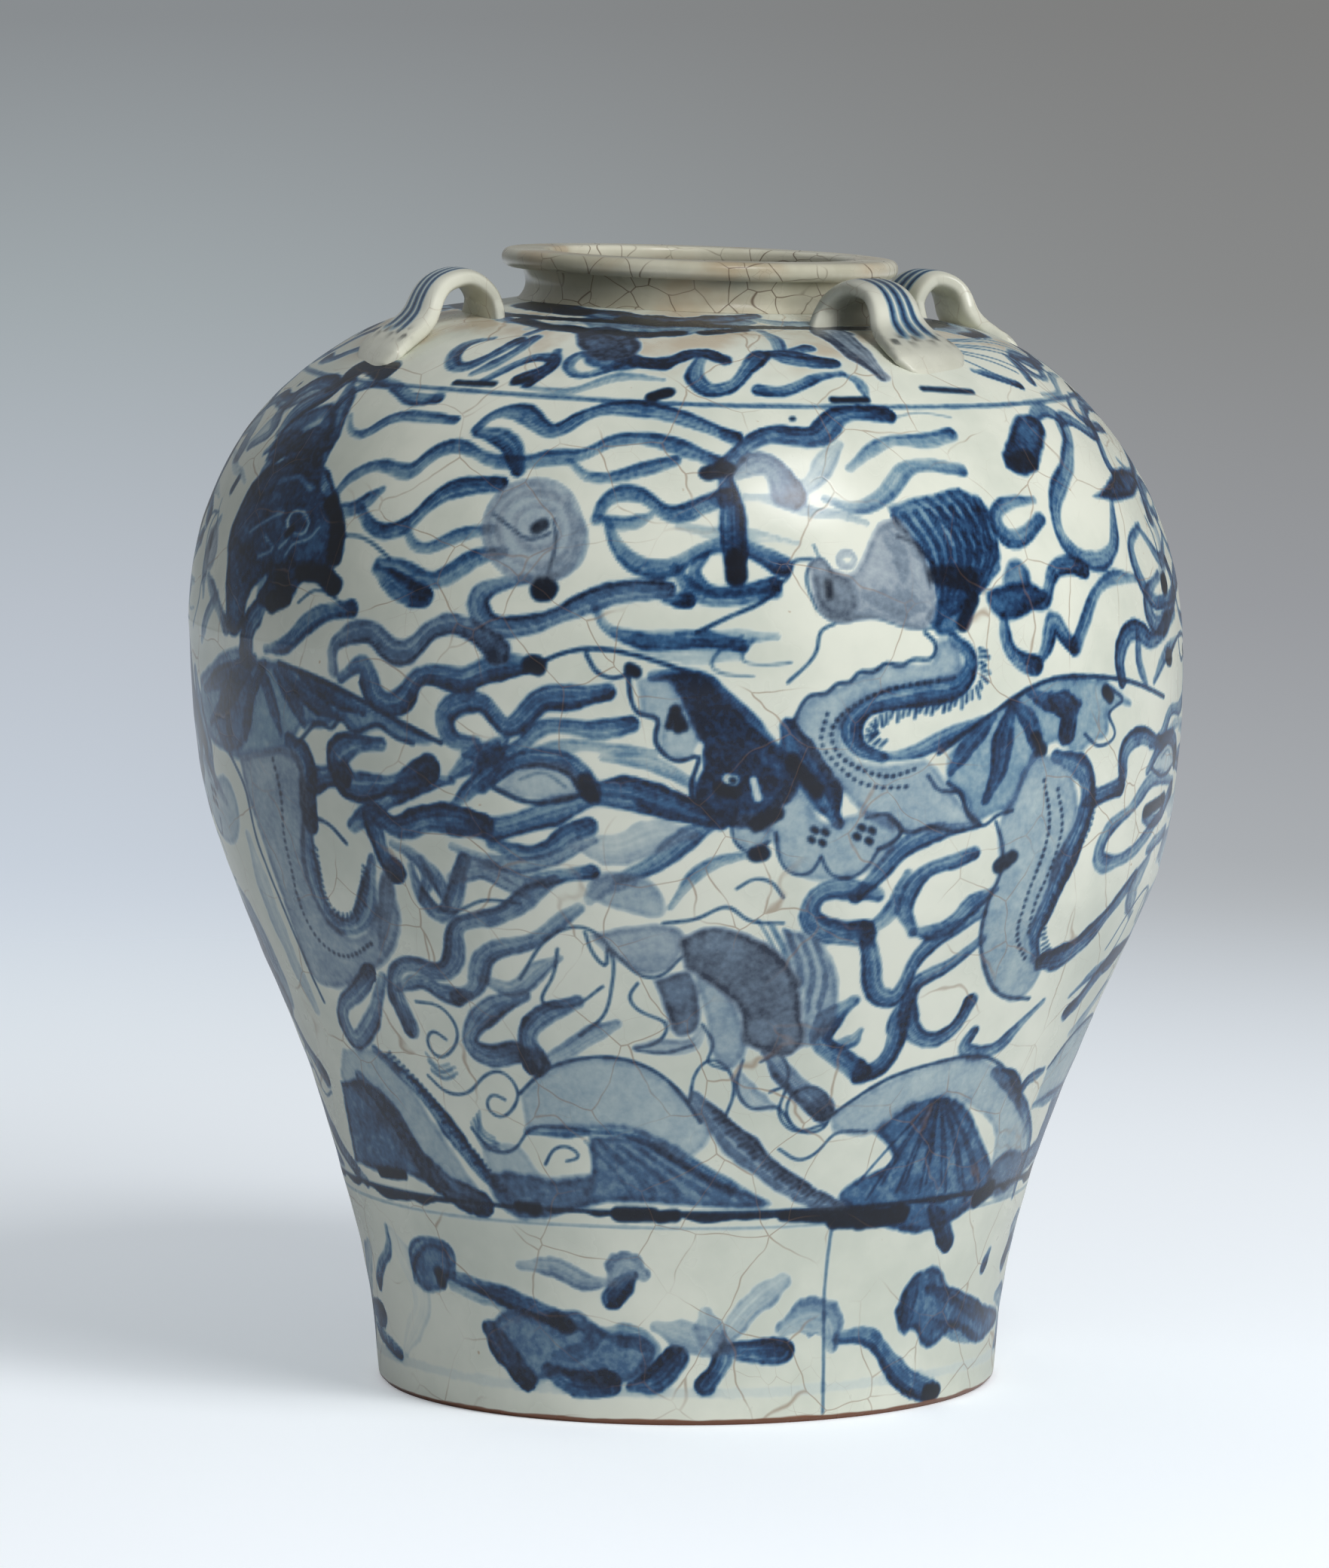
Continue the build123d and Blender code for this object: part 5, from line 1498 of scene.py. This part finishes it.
@dataclass(frozen=True)
class GlazeFinish:
    """A glaze, its crackle and how much of the painted attribute it shows."""

    name: str
    light: tuple = to_linear(224, 226, 211)
    deep: tuple = to_linear(201, 206, 192)
    crackle: tuple = to_linear(140, 108, 80)
    crackle_cell: float = 0.024
    crackle_line: float = 0.0165
    crackle_strength: float = 0.6
    warm: tuple = to_linear(170, 140, 104)
    blue: tuple = ((0.0, to_linear(220, 224, 214)), (0.18, to_linear(170, 187, 187)),
                   (0.38, to_linear(110, 142, 160)), (0.58, to_linear(48, 89, 127)),
                   (0.78, to_linear(22, 51, 86)), (1.0, to_linear(8, 20, 40)))
    dull: tuple = ((0.0, to_linear(222, 225, 218)), (0.25, to_linear(174, 184, 188)),
                   (0.55, to_linear(118, 134, 148)), (1.0, to_linear(42, 54, 74)))
    black: tuple = to_linear(12, 16, 26)
    bare_foot: tuple = to_linear(126, 82, 58)
    cloud_edges: tuple = (0.35, 0.68)
    speck_strength: float = 0.7
    grain_scale: float = 520.0
    grain_range: tuple = (0.86, 1.12)
    thin_paint: float = 0.16
    crackle_under_paint: float = 0.75
    painted: bool = True
    foot_line: float = 0.0
    foot_wave_scale: float = 60.0
    foot_least: float = 0.35
    foot_edges: tuple = (1.15, 0.8)
    stain: float = 0.0
    stain_above: float = 0.0
    stain_rise: float = 0.008
    stain_scale: float = 38.0
    stain_patches: tuple = (0.44, 0.64)
    roughness: tuple = (0.22, 0.33)
    relief: float = 0.12
    relief_depth: float = 0.0006
    ior: float = 1.5

    def build(self, marks: bpy.types.NodeTree) -> bpy.types.Material:
        """Makes the material.

        Args:
            marks: The group of glaze marks.

        Returns:
            The material.
        """
        material = bpy.data.materials.new(self.name)
        material.use_nodes = True
        bench = Bench(material.node_tree)
        place = bench.put("TexCoord").outputs["Object"]
        group = bench.put("Group", {"node_tree": marks}, Place=place, Cell=self.crackle_cell, Line=self.crackle_line)
        cloud, crackle = group.outputs["Cloud"], group.outputs["Crackle"]
        colour = bench.mix(bench.window(cloud, *self.cloud_edges), self.light, self.deep)
        colour = bench.mix(bench.math("MULTIPLY", group.outputs["Specks"], self.speck_strength), colour, self.warm)
        height = bench.put("SeparateXYZ", None, Vector=place).outputs[2]
        if self.stain:
            patch = bench.put("TexNoise", None, Vector=place, Scale=self.stain_scale, Detail=4.0)
            spread = bench.math("MULTIPLY", bench.window(patch.outputs[0], *self.stain_patches),
                                bench.window(height, self.stain_above, self.stain_above + self.stain_rise))
            colour = bench.mix(bench.math("MULTIPLY", spread, self.stain), colour, self.warm)
        lines = bench.math("MULTIPLY", crackle, self.crackle_strength)
        if self.painted:
            paint = bench.put("Attribute", {"attribute_name": "paint"})
            cobalt, dark, grey = bench.put("SeparateColor", None, Color=paint.outputs["Color"]).outputs
            heaped = bench.put("TexNoise", None, Vector=place, Scale=self.grain_scale, Detail=2.0)
            thin, thick = self.grain_range
            grain = bench.put("MapRange", None, Value=heaped.outputs[0], From_Min=NOISE_SPAN[0],
                              From_Max=NOISE_SPAN[1], To_Min=thin, To_Max=thick)
            depth = bench.math("MULTIPLY", cobalt, grain.outputs[0])
            tone = bench.mix(grey, bench.ramp(depth, self.blue), bench.ramp(depth, self.dull))
            colour = bench.mix(bench.window(cobalt, 0.0, self.thin_paint), colour, tone)
            colour = bench.mix(dark, colour, self.black)
            hidden = bench.math("MULTIPLY", cobalt, self.crackle_under_paint)
            lines = bench.math("MULTIPLY", lines, bench.math("SUBTRACT", 1.0, hidden))
        colour = bench.mix(lines, colour, self.crackle)
        if self.foot_line:
            wavy = bench.put("TexNoise", None, Vector=place, Scale=self.foot_wave_scale, Detail=2.0)
            limit = bench.math("MULTIPLY_ADD", wavy.outputs[0], self.foot_line, self.foot_line * self.foot_least)
            bare = bench.window(bench.math("DIVIDE", height, limit), *self.foot_edges)
            colour = bench.mix(bare, colour, self.bare_foot)
        glossy, dull = self.roughness
        rough = bench.put("MapRange", None, Value=cloud, From_Min=NOISE_SPAN[0], From_Max=NOISE_SPAN[1],
                          To_Min=glossy, To_Max=dull)
        bump = bench.put("Bump", None, Strength=self.relief, Distance=self.relief_depth,
                         Height=group.outputs["Height"])
        shader = bench.put("BsdfPrincipled", None, Base_Color=colour, Roughness=rough.outputs[0],
                           Normal=bump.outputs[0], IOR=self.ior)
        bench.put("OutputMaterial", None, Surface=shader.outputs[0])
        return material


@dataclass(frozen=True)
class ClayFinish:
    """Bare fired clay, as on the foot."""

    name: str = "bare_clay"
    light: tuple = to_linear(176, 146, 118)
    deep: tuple = to_linear(132, 96, 72)
    grit: tuple = to_linear(92, 70, 56)
    grain_scale: float = 70.0
    grain_edges: tuple = (0.35, 0.65)
    grit_scale: float = 900.0
    grit_edges: tuple = (0.60, 0.70)
    relief: float = 0.4
    relief_depth: float = 0.0005
    roughness: float = 0.85

    def build(self) -> bpy.types.Material:
        """Makes the material.

        Returns:
            The material.
        """
        material = bpy.data.materials.new(self.name)
        material.use_nodes = True
        bench = Bench(material.node_tree)
        place = bench.put("TexCoord").outputs["Object"]
        grain = bench.put("TexNoise", None, Vector=place, Scale=self.grain_scale, Detail=8.0, Roughness=0.7)
        grit = bench.put("TexNoise", None, Vector=place, Scale=self.grit_scale, Detail=3.0)
        colour = bench.mix(bench.window(grain.outputs[0], *self.grain_edges), self.light, self.deep)
        colour = bench.mix(bench.window(grit.outputs[0], *self.grit_edges), colour, self.grit)
        bump = bench.put("Bump", None, Strength=self.relief, Distance=self.relief_depth, Height=grit.outputs[0])
        shader = bench.put("BsdfPrincipled", None, Base_Color=colour, Roughness=self.roughness,
                           Normal=bump.outputs[0])
        bench.put("OutputMaterial", None, Surface=shader.outputs[0])
        return material


def set_paint(mesh: bpy.types.Mesh, paint: np.ndarray) -> None:
    """Stores the cobalt, dark and grey at each place as the attribute that the glazes read."""
    attribute = mesh.attributes.new("paint", "FLOAT_COLOR", "POINT")
    attribute.data.foreach_set("color", np.hstack([paint, np.ones((len(paint), 1))]).astype(np.float32).ravel())


def make_piece(name: str, shape: bmesh.types.BMesh, places: np.ndarray, material: bpy.types.Material,
               nodes: tuple, paint: np.ndarray | None = None, normals: np.ndarray | None = None) -> bpy.types.Object:
    """Turns a shape into a finished piece of the jar.

    Args:
        name: The piece's name.
        shape: Its shape, whose places are set anew.
        places: Where its vertices go, in millimetres.
        material: Its material.
        nodes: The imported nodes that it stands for.
        paint: Cobalt, dark and grey at each vertex.
        normals: Its outward directions, with zeros where its faces give them.

    Returns:
        The piece.
    """
    mesh = bpy.data.meshes.new(name)
    bmesh.ops.recalc_face_normals(shape, faces=shape.faces)
    shape.to_mesh(mesh)
    shape.free()
    mesh.vertices.foreach_set("co", (places * MM).astype(np.float32).ravel())
    mesh.polygons.foreach_set("use_smooth", np.ones(len(mesh.polygons), bool))
    mesh.update()
    if normals is not None:
        mesh.normals_split_custom_set_from_vertices(normals.tolist())
    set_paint(mesh, np.zeros((len(places), 3)) if paint is None else paint)
    piece = bpy.data.objects.new(name, mesh)
    piece.data.materials.append(material)
    bpy.context.scene.collection.objects.link(piece)
    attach(piece, "root")
    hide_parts(*nodes)
    log.info("%s: %d faces", name, len(mesh.polygons))
    return piece


def turn_profile(profile: np.ndarray, steps: int) -> bmesh.types.BMesh:
    """Turns a closed profile right round the axis, from a grid that is rolled up and joined.

    Args:
        profile: Its radii and heights, one row each.
        steps: How many faces there are round it.

    Returns:
        The shape.
    """
    shape, count = bmesh.new(), len(profile)
    bmesh.ops.create_grid(shape, x_segments=steps, y_segments=count, size=1.0)
    for vertex in shape.verts:
        turn = (vertex.co.x + 1) * math.pi
        radius, height = profile[round((vertex.co.y + 1) / 2 * count) % count]
        vertex.co = (radius * math.cos(turn), radius * math.sin(turn), height)
    bmesh.ops.remove_doubles(shape, verts=shape.verts, dist=1e-4)
    return shape


def shape_places(shape: bmesh.types.BMesh) -> np.ndarray:
    """The places of a shape's vertices, one row each."""
    return np.array([v.co for v in shape.verts], float)


@dataclass
class PaintedWall:
    """The thrown wall from the foot to the collar, as rings, with its paint."""

    form: JarForm
    decoration: Decoration
    slab_radius: float = 80.5
    slab_top: float = 14.0
    mouth_radius: float = 46.0
    crown_wall: float = 7.0
    ring_names: tuple = ("foot_ring", "ankle_ring", "waist_ring", "flare_ring", "haunch_ring", "girth_ring",
                         "breast_ring", "shoulder_ring", "crown_ring")
    lower_rings: int = 6
    steps: int = 1400
    rows: int = 62
    quick_steps: int = 480
    quick_rows: int = 24
    inner_steps: int = 5
    foot_inside: float = 20.0
    crown_inside: float = 12.0
    wall_heights: tuple = (14.0, 61.0, 228.0, 309.0)
    skin: float = 0.6

    def inner(self, along: np.ndarray) -> np.ndarray:
        """Finds the inner face across the wall from places on the outline.

        Args:
            along: Lengths along the outline.

        Returns:
            Radii and heights, one row each.
        """
        form = self.form
        here = resample(form.outline, along)
        way = resample(form.outline, along + 0.5) - resample(form.outline, along - 0.5)
        way /= np.linalg.norm(way, axis=1, keepdims=True)
        wall = np.interp(here[:, 1], self.wall_heights, [form.wall_foot, form.wall, form.wall, self.crown_wall])
        return here + np.stack([-way[:, 1], way[:, 0]], axis=1) * wall[:, None]

    def build(self, material: bpy.types.Material) -> None:
        """Makes the rings.

        Args:
            material: The painted glaze.
        """
        form, count = self.form, len(self.ring_names)
        steps, rows = ((self.steps, self.rows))
        widest = form.foot_rings[-1][0]
        girth_length = float(form.length_of(np.array([widest]), np.array([form.girth]))[0])
        lower = np.linspace(0, girth_length, self.lower_rings + 1)
        upper = np.linspace(girth_length, form.total, count - self.lower_rings + 1)
        limits = np.concatenate([lower, upper[1:]])
        for name, low, high in zip(self.ring_names, limits[:-1], limits[1:]):
            outer = resample(form.outline, np.linspace(low, high, rows))
            if low == 0:
                inside = self.inner(np.linspace(high, self.foot_inside, self.inner_steps))
                inside = np.vstack([inside, [[inside[-1, 0], self.slab_top], [self.slab_radius, self.slab_top],
                                             [self.slab_radius, 0]]])
            elif high == limits[-1]:
                crown = form.outline[-1, 1]
                inside = np.vstack([[[self.mouth_radius, crown], [self.mouth_radius, crown - self.crown_wall]],
                                    self.inner(np.linspace(form.total - self.crown_inside, low, self.inner_steps))])
            else:
                inside = self.inner(np.linspace(high, low, self.inner_steps + 1))
            shape = turn_profile(np.vstack([outer, inside]), steps)
            places = shape_places(shape)
            radius = np.hypot(places[:, 0], places[:, 1])
            degrees = np.degrees(np.arctan2(places[:, 0], -places[:, 1]))
            along = form.length_of(radius, places[:, 2])
            on_outline = resample(form.outline, along)
            is_outer = np.hypot(on_outline[:, 0] - radius, on_outline[:, 1] - places[:, 2]) < self.skin
            relief = np.where(is_outer, form.relief(degrees, along), 0.0)
            normals = np.where(is_outer[:, None], form.normals(degrees, along), 0.0)
            paint = np.where(is_outer[:, None], self.decoration.sample(degrees, along), 0.0)
            node = "lower_body" if high <= girth_length + 1e-6 else "upper_body"
            make_piece(name, shape, form.settle(places, relief), material, (node,), paint, normals)


@dataclass
class Neck:
    """The collar and the rolled lip, in millimetres above the girth along the leaning axis."""

    form: JarForm
    seat: float = 99.2
    collar_height: float = 9.6
    root_radius: float = 55.0
    waist_radius: float = 52.6
    top_radius: float = 54.2
    mouth_radius: float = 46.0
    lip_radius: float = 60.0
    lip_height: float = 5.6
    outer_round: float = 2.58
    inner_round: float = 1.68
    crown_flat: tuple = (53.0, 50.0)
    foot_direction: tuple = (-1.2, 1.0)
    top_direction: tuple = (1.0, 1.6)
    waves: tuple = ((0.25, 2, 0.5), (0.18, 5, 1.2), (0.12, 9, 0.0))
    outside: float = 48.0
    steps: int = 512
    quick_steps: int = 180

    def arc(self, centre: tuple, radius: float, start: float, end: float) -> np.ndarray:
        """A quarter or so of a circle.

        Args:
            centre: Its centre.
            radius: Its radius.
            start: Its first angle in degrees.
            end: Its last one.

        Returns:
            Radii and heights, one row each.
        """
        turn = np.radians(np.linspace(start, end, 9))
        return np.stack([centre[0] + radius * np.cos(turn), centre[1] + radius * np.sin(turn)], axis=1)

    def build(self, material: bpy.types.Material) -> None:
        """Makes both pieces.

        Args:
            material: The plain glaze.
        """
        steps = self.steps
        base, top = self.form.girth + self.seat, self.form.girth + self.seat + self.collar_height
        middle = (base + top) / 2
        side = clamped_spline([(self.root_radius, base), (self.waist_radius, middle), (self.top_radius, top)],
                              self.foot_direction, self.top_direction, 12)
        inside = np.array([[self.mouth_radius, top], [self.mouth_radius, middle], [self.mouth_radius, base]])
        crown = top + self.lip_height
        a, b = self.outer_round, self.inner_round
        lip = np.vstack([
            [[self.mouth_radius, top], [self.top_radius, top]],
            self.arc((self.lip_radius - a, top + a), a, -90, 0),
            self.arc((self.lip_radius - a, crown - a), a, 0, 90),
            [[radius, crown] for radius in self.crown_flat],
            self.arc((self.mouth_radius + b, crown - b), b, 90, 180),
        ])
        for name, profile in (("collar", np.vstack([side, inside])), ("lip", lip)):
            shape = turn_profile(profile, steps)
            places = shape_places(shape)
            turn = np.arctan2(places[:, 0], -places[:, 1])
            wave = sum(depth * np.sin(count * turn + start) for depth, count, start in self.waves)
            relief = np.where(np.hypot(places[:, 0], places[:, 1]) > self.outside, wave, 0.0)
            node = "neck_collar" if name == "collar" else "rolled_lip"
            make_piece(name, shape, self.form.settle(places, relief), material, (node,))


@dataclass
class TieLug:
    """One strap bent into a loop across the shoulder, in millimetres."""

    form: JarForm
    name: str
    azimuth: float
    turn: float
    inner_radius: float
    reach: float
    turning_radius: float = 80.0
    crest: float = 12.6
    width: float = 20.0
    thickness: float = 5.7
    path_shares: tuple = ((0.00, -0.20), (0.00, 0.30), (0.09, 0.74), (0.20, 0.96), (0.31, 1.00), (0.42, 0.93),
                          (0.50, 0.68), (0.55, 0.39), (0.67, 0.16), (0.86, 0.05), (1.00, -0.28))
    section_shares: tuple = ((0.00, 1.60, 1.00), (0.12, 1.24, 0.94), (0.28, 1.00, 0.98), (0.42, 0.95, 1.02),
                             (0.55, 1.06, 1.06), (0.67, 1.30, 1.08), (0.80, 1.56, 1.00), (0.87, 1.56, 0.92),
                             (0.94, 1.24, 0.80), (1.00, 0.62, 0.60))
    squareness: float = 0.62
    stripe_places: tuple = (-0.42, 0.02, 0.44)
    stripe_width: float = 0.10
    stripe_depth: float = 0.92
    stripe_ends: tuple = (0.08, 0.18, 0.70, 0.80)
    blot_spots: tuple = ((0.77, 0.045), (0.07, 0.04))
    blot_depth: float = 0.8
    stations: int = 150
    around: int = 64
    quick_stations: int = 48
    quick_around: int = 24

    def directions(self, degrees: float) -> np.ndarray:
        """The outward direction at an azimuth, square to the leaning axis.

        Args:
            degrees: The azimuth.

        Returns:
            A direction of length one.
        """
        lean, turn = math.radians(self.form.lean), math.radians(degrees)
        x_axis, y_axis = np.array([math.cos(lean), 0, -math.sin(lean)]), np.array([0.0, 1.0, 0.0])
        return x_axis * math.sin(turn) - y_axis * math.cos(turn)

    def build(self, material: bpy.types.Material) -> None:
        """Makes the strap with its stripes.

        Args:
            material: The straps' glaze.
        """
        lean = math.radians(self.form.lean)
        up = np.array([math.sin(lean), 0, math.cos(lean)])
        out = self.directions(self.azimuth + self.turn)
        shift = (self.directions(self.azimuth) - out) * self.turning_radius
        across = np.cross(out, up)
        rings = self.form.outline
        upper = rings[rings[:, 1] >= self.form.girth]
        knots = []
        for reach_share, crest_share in self.path_shares:
            distance = self.inner_radius + self.reach * reach_share
            radius = np.linalg.norm(shift + out * distance)
            ground = np.interp(radius, upper[::-1, 0], upper[::-1, 1]) - self.form.girth
            knots.append((distance, ground + self.crest * crest_share))
        path = clamped_spline(knots, (0, 1), np.subtract(knots[-1], knots[-2]), 12)
        total = run_lengths(path)[-1]
        stations, around = ((self.stations, self.around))
        runs = np.linspace(0, total, stations)
        middle = resample(path, runs)
        way = resample(path, np.minimum(runs + 0.4, total)) - resample(path, np.maximum(runs - 0.4, 0))
        way /= np.linalg.norm(way, axis=1, keepdims=True)
        shares = np.array(self.section_shares)
        angle = np.arange(around) / around * math.tau
        shape = bmesh.new()
        bmesh.ops.create_circle(shape, cap_ends=True, radius=1.0, segments=around)
        shape.faces.ensure_lookup_table()
        face = shape.faces[0]
        for _ in range(stations - 1):
            made = bmesh.ops.extrude_face_region(shape, geom=[face])
            face = next(g for g in made["geom"] if isinstance(g, bmesh.types.BMFace))
        shape.verts.index_update()
        places, paint = np.zeros((len(shape.verts), 3)), np.zeros((len(shape.verts), 3))
        for k in range(stations):
            share = runs[k] / total
            wide = self.width * np.interp(share, shares[:, 0], shares[:, 1]) / 2
            thick = self.thickness * np.interp(share, shares[:, 0], shares[:, 2]) / 2
            side = np.sign(np.cos(angle)) * np.abs(np.cos(angle)) ** self.squareness * wide
            lift = np.sign(np.sin(angle)) * np.abs(np.sin(angle)) ** self.squareness * thick
            square = np.array([-way[k, 1], way[k, 0]])
            flat = middle[k] + lift[:, None] * square
            spots = (shift + out * flat[:, :1] + up * flat[:, 1:] + across * side[:, None]
                     + np.array([0, 0, self.form.girth]))
            rows = np.arange(k * around, (k + 1) * around)
            places[rows] = spots
            top = smooth_step(0.1, 0.6, lift / thick)
            stripes = sum(np.exp(-((side / wide - at) / self.stripe_width) ** 2) for at in self.stripe_places)
            begin, full, fade, end = self.stripe_ends
            held = smooth_step(begin, full, share) * (1 - smooth_step(fade, end, share))
            paint[rows, 0] = np.clip(stripes * top * self.stripe_depth * held, 0, 1)
            blots = np.clip(np.sin(side * 1.3 + 30 * share) + np.sin(side * 0.7 - 55 * share + self.azimuth), 0, 1)
            ends = sum(np.exp(-((share - at) / spread) ** 2) for at, spread in self.blot_spots)
            paint[rows, 1] = self.blot_depth * blots * top * ends
        make_piece(self.name, shape, places, material, (self.name.replace("strap", "lug"),), paint)


@dataclass(frozen=True)
class Studio:
    """The floor, the backdrop and the lights."""

    key_azimuth: float = 38.0
    key_elevation: float = 52.0
    key_distance: float = 1.9
    key_size: float = 0.55
    key_power: float = 10.0
    main_azimuth: float = 42.0
    main_elevation: float = 24.0
    main_size: float = 0.9
    main_power: float = 18.6
    back_azimuth: float = -150.0
    back_elevation: float = 30.0
    back_distance: float = 2.2
    back_size: float = 1.6
    back_power: float = 8.0
    aim: tuple = (0.0, 0.0, 0.18)
    sky: float = 0.27
    sky_colour: tuple = to_linear(225, 230, 238)
    floor: tuple = to_linear(238, 242, 246)
    floor_radius: float = 3.0
    floor_fade: tuple = (0.42, 1.5)
    floor_glow: float = 0.30
    glow_colour: tuple = to_linear(240, 247, 251)
    horizon: tuple = (-0.19, 0.0)
    bright: tuple = ((0.14, to_linear(240, 245, 250)), (0.254, to_linear(218, 229, 237)),
                     (0.39, to_linear(202, 211, 222)), (0.572, to_linear(185, 192, 201)),
                     (0.755, to_linear(161, 169, 173)), (0.927, to_linear(137, 141, 144)))
    dim: tuple = ((0.14, to_linear(238, 242, 246)), (0.254, to_linear(197, 205, 214)),
                  (0.39, to_linear(173, 177, 181)), (0.572, to_linear(152, 154, 158)),
                  (0.755, to_linear(136, 137, 137)), (0.927, to_linear(126, 126, 125)))
    dim_side: tuple = (-0.08, 0.075)

    def area(self, name: str, azimuth: float, elevation: float, distance: float, size: float, power: float,
             gloss: bool = True) -> None:
        """Hangs a soft lamp, aimed at the jar's middle.

        Args:
            name: Its name.
            azimuth: Where it hangs, from the front towards +X.
            elevation: How high, in degrees.
            distance: How far from the jar.
            size: How wide it is.
            power: Its power.
            gloss: Whether it shows in the glaze.
        """
        turn, rise = math.radians(azimuth), math.radians(elevation)
        data = bpy.data.lights.new(name, "AREA")
        data.shape, data.size, data.energy = "DISK", size, power
        lamp = bpy.data.objects.new(name, data)
        back = Vector((math.sin(turn) * math.cos(rise), -math.cos(turn) * math.cos(rise), math.sin(rise)))
        lamp.location = back * distance + Vector(self.aim)
        lamp.rotation_euler = back.to_track_quat("Z", "Y").to_euler()
        lamp.visible_glossy = gloss
        bpy.context.scene.collection.objects.link(lamp)

    def build(self) -> None:
        """Makes the set."""
        bpy.context.scene.view_settings.view_transform = "Standard"
        self.area("key", self.key_azimuth, self.key_elevation, self.key_distance, self.key_size, self.key_power)
        self.area("main", self.main_azimuth, self.main_elevation, self.key_distance, self.main_size,
                  self.main_power, False)
        self.area("back", self.back_azimuth, self.back_elevation, self.back_distance, self.back_size,
                  self.back_power, False)
        self.build_floor()
        self.build_backdrop()

    def build_floor(self) -> None:
        """Lays a round floor that fades into the backdrop."""
        shape = bmesh.new()
        bmesh.ops.create_circle(shape, cap_ends=True, radius=self.floor_radius, segments=96)
        mesh = bpy.data.meshes.new("floor")
        shape.to_mesh(mesh)
        shape.free()
        floor = bpy.data.objects.new("floor", mesh)
        bpy.context.scene.collection.objects.link(floor)
        material = bpy.data.materials.new("floor")
        material.use_nodes = True
        bench = Bench(material.node_tree)
        place = bench.put("TexCoord").outputs["Object"]
        far = bench.put("VectorMath", {"operation": "LENGTH"}, i0=place).outputs["Value"]
        shade = bench.put("BsdfDiffuse", None, Color=self.floor)
        clear = bench.put("BsdfTransparent")
        fade = bench.window(far, *self.floor_fade)
        seen = bench.math("MULTIPLY", bench.put("LightPath").outputs["Is Camera Ray"], self.floor_glow)
        glow = bench.put("Emission", None, Color=self.glow_colour, Strength=seen)
        lit = bench.put("AddShader", None, i0=shade.outputs[0], i1=glow.outputs[0])
        both = bench.put("MixShader", None, i0=fade, i1=lit.outputs[0], i2=clear.outputs[0])
        bench.put("OutputMaterial", None, Surface=both.outputs[0])
        mesh.materials.append(material)

    def build_backdrop(self) -> None:
        """Gives the world its backdrop, and an even light of its own."""
        world = bpy.data.worlds.new("studio")
        bpy.context.scene.world = world
        world.use_nodes = True
        bench = Bench(world.node_tree)
        side, _, way = bench.put("SeparateXYZ", None, Vector=bench.put("TexCoord").outputs["Generated"]).outputs
        low, high = self.horizon
        level = bench.put("MapRange", None, Value=way, From_Min=low, From_Max=high).outputs[0]
        bright, dim = bench.ramp(level, self.bright), bench.ramp(level, self.dim)
        tone = bench.mix(bench.window(side, *self.dim_side), bright, dim)
        path = bench.put("LightPath")
        seen = bench.math("MAXIMUM", path.outputs["Is Camera Ray"], bench.math(
            "MAXIMUM", path.outputs["Is Glossy Ray"], path.outputs["Is Transmission Ray"]))
        backdrop = bench.put("Background", None, Color=tone, Strength=1.0)
        even = bench.put("Background", None, Color=self.sky_colour, Strength=self.sky)
        both = bench.put("MixShader", None, i0=seen, i1=even.outputs[0], i2=backdrop.outputs[0])
        bench.put("OutputWorld", None, Surface=both.outputs[0])


# Lines round the jar: a pixel on each, its width, strength and wander, and how near to black it is
RINGS = ((900, 431, 4.6, 0.92, 0.9, 0.75), (886, 533, 1.6, 0.55, 0.5, 0.1), (886, 1631, 0.8, 0.3, 0.3, 0.1),
         (886, 1850, 3.4, 0.1, 0.5, 0.0))
# How far up the outline of the wall the line under the hills lies, in millimetres
HILL_LINE = 67.0
# The straps: name, azimuth, turn in plan, where it starts and how far it reaches
LUGS = (("strap_front_left", -59.0, -9.0, 75.0, 36.0), ("strap_front_right", 42.0, 8.0, 66.5, 37.5),
        ("strap_rear_right", 117.0, 0.0, 70.0, 36.0), ("strap_rear_left", 208.0, 4.0, 71.0, 36.0))


def main() -> None:
    """Builds the jar and its set."""
    camera = PhotoCamera()
    camera.build()
    Studio().build()
    form = JarForm()
    decoration = Decoration(form, PhotoReader(form, camera))
    decoration.apply(front_strokes())
    decoration.ground(HILL_LINE)
    for column, row, width, strength, wander, dark in RINGS:
        decoration.ring(decoration.level(column, row), width, strength, wander, dark, row)
    marks = GlazeMarks().build()
    painted = GlazeFinish("painted_glaze", foot_line=0.0022, stain=0.55, stain_above=0.309).build(marks)
    # The collar and lip glaze has a darker deep tone than the wall's, partly for their brown staining and partly as
    # painted shade.
    plain = GlazeFinish("plain_glaze", light=to_linear(214, 211, 192), deep=to_linear(170, 166, 144), painted=False,
                        crackle=to_linear(92, 72, 54), crackle_cell=0.011, crackle_line=0.026, crackle_strength=0.9,
                        stain=0.42, stain_above=0.300).build(marks)
    straps = GlazeFinish("strap_glaze", light=to_linear(226, 226, 210), deep=to_linear(190, 190, 172),
                         crackle_cell=0.014).build(marks)
    PaintedWall(form, decoration).build(painted)
    Neck(form).build(plain)
    for name, azimuth, turn, inner_radius, reach in LUGS:
        TieLug(form, name, azimuth, turn, inner_radius, reach).build(straps)
    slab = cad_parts["base_slab"]
    slab.data.materials.clear()
    slab.data.materials.append(ClayFinish().build())
    log.info("the jar is finished")


if __name__ == "__main__":
    logging.basicConfig(level=logging.INFO, format="%(message)s")
    main()
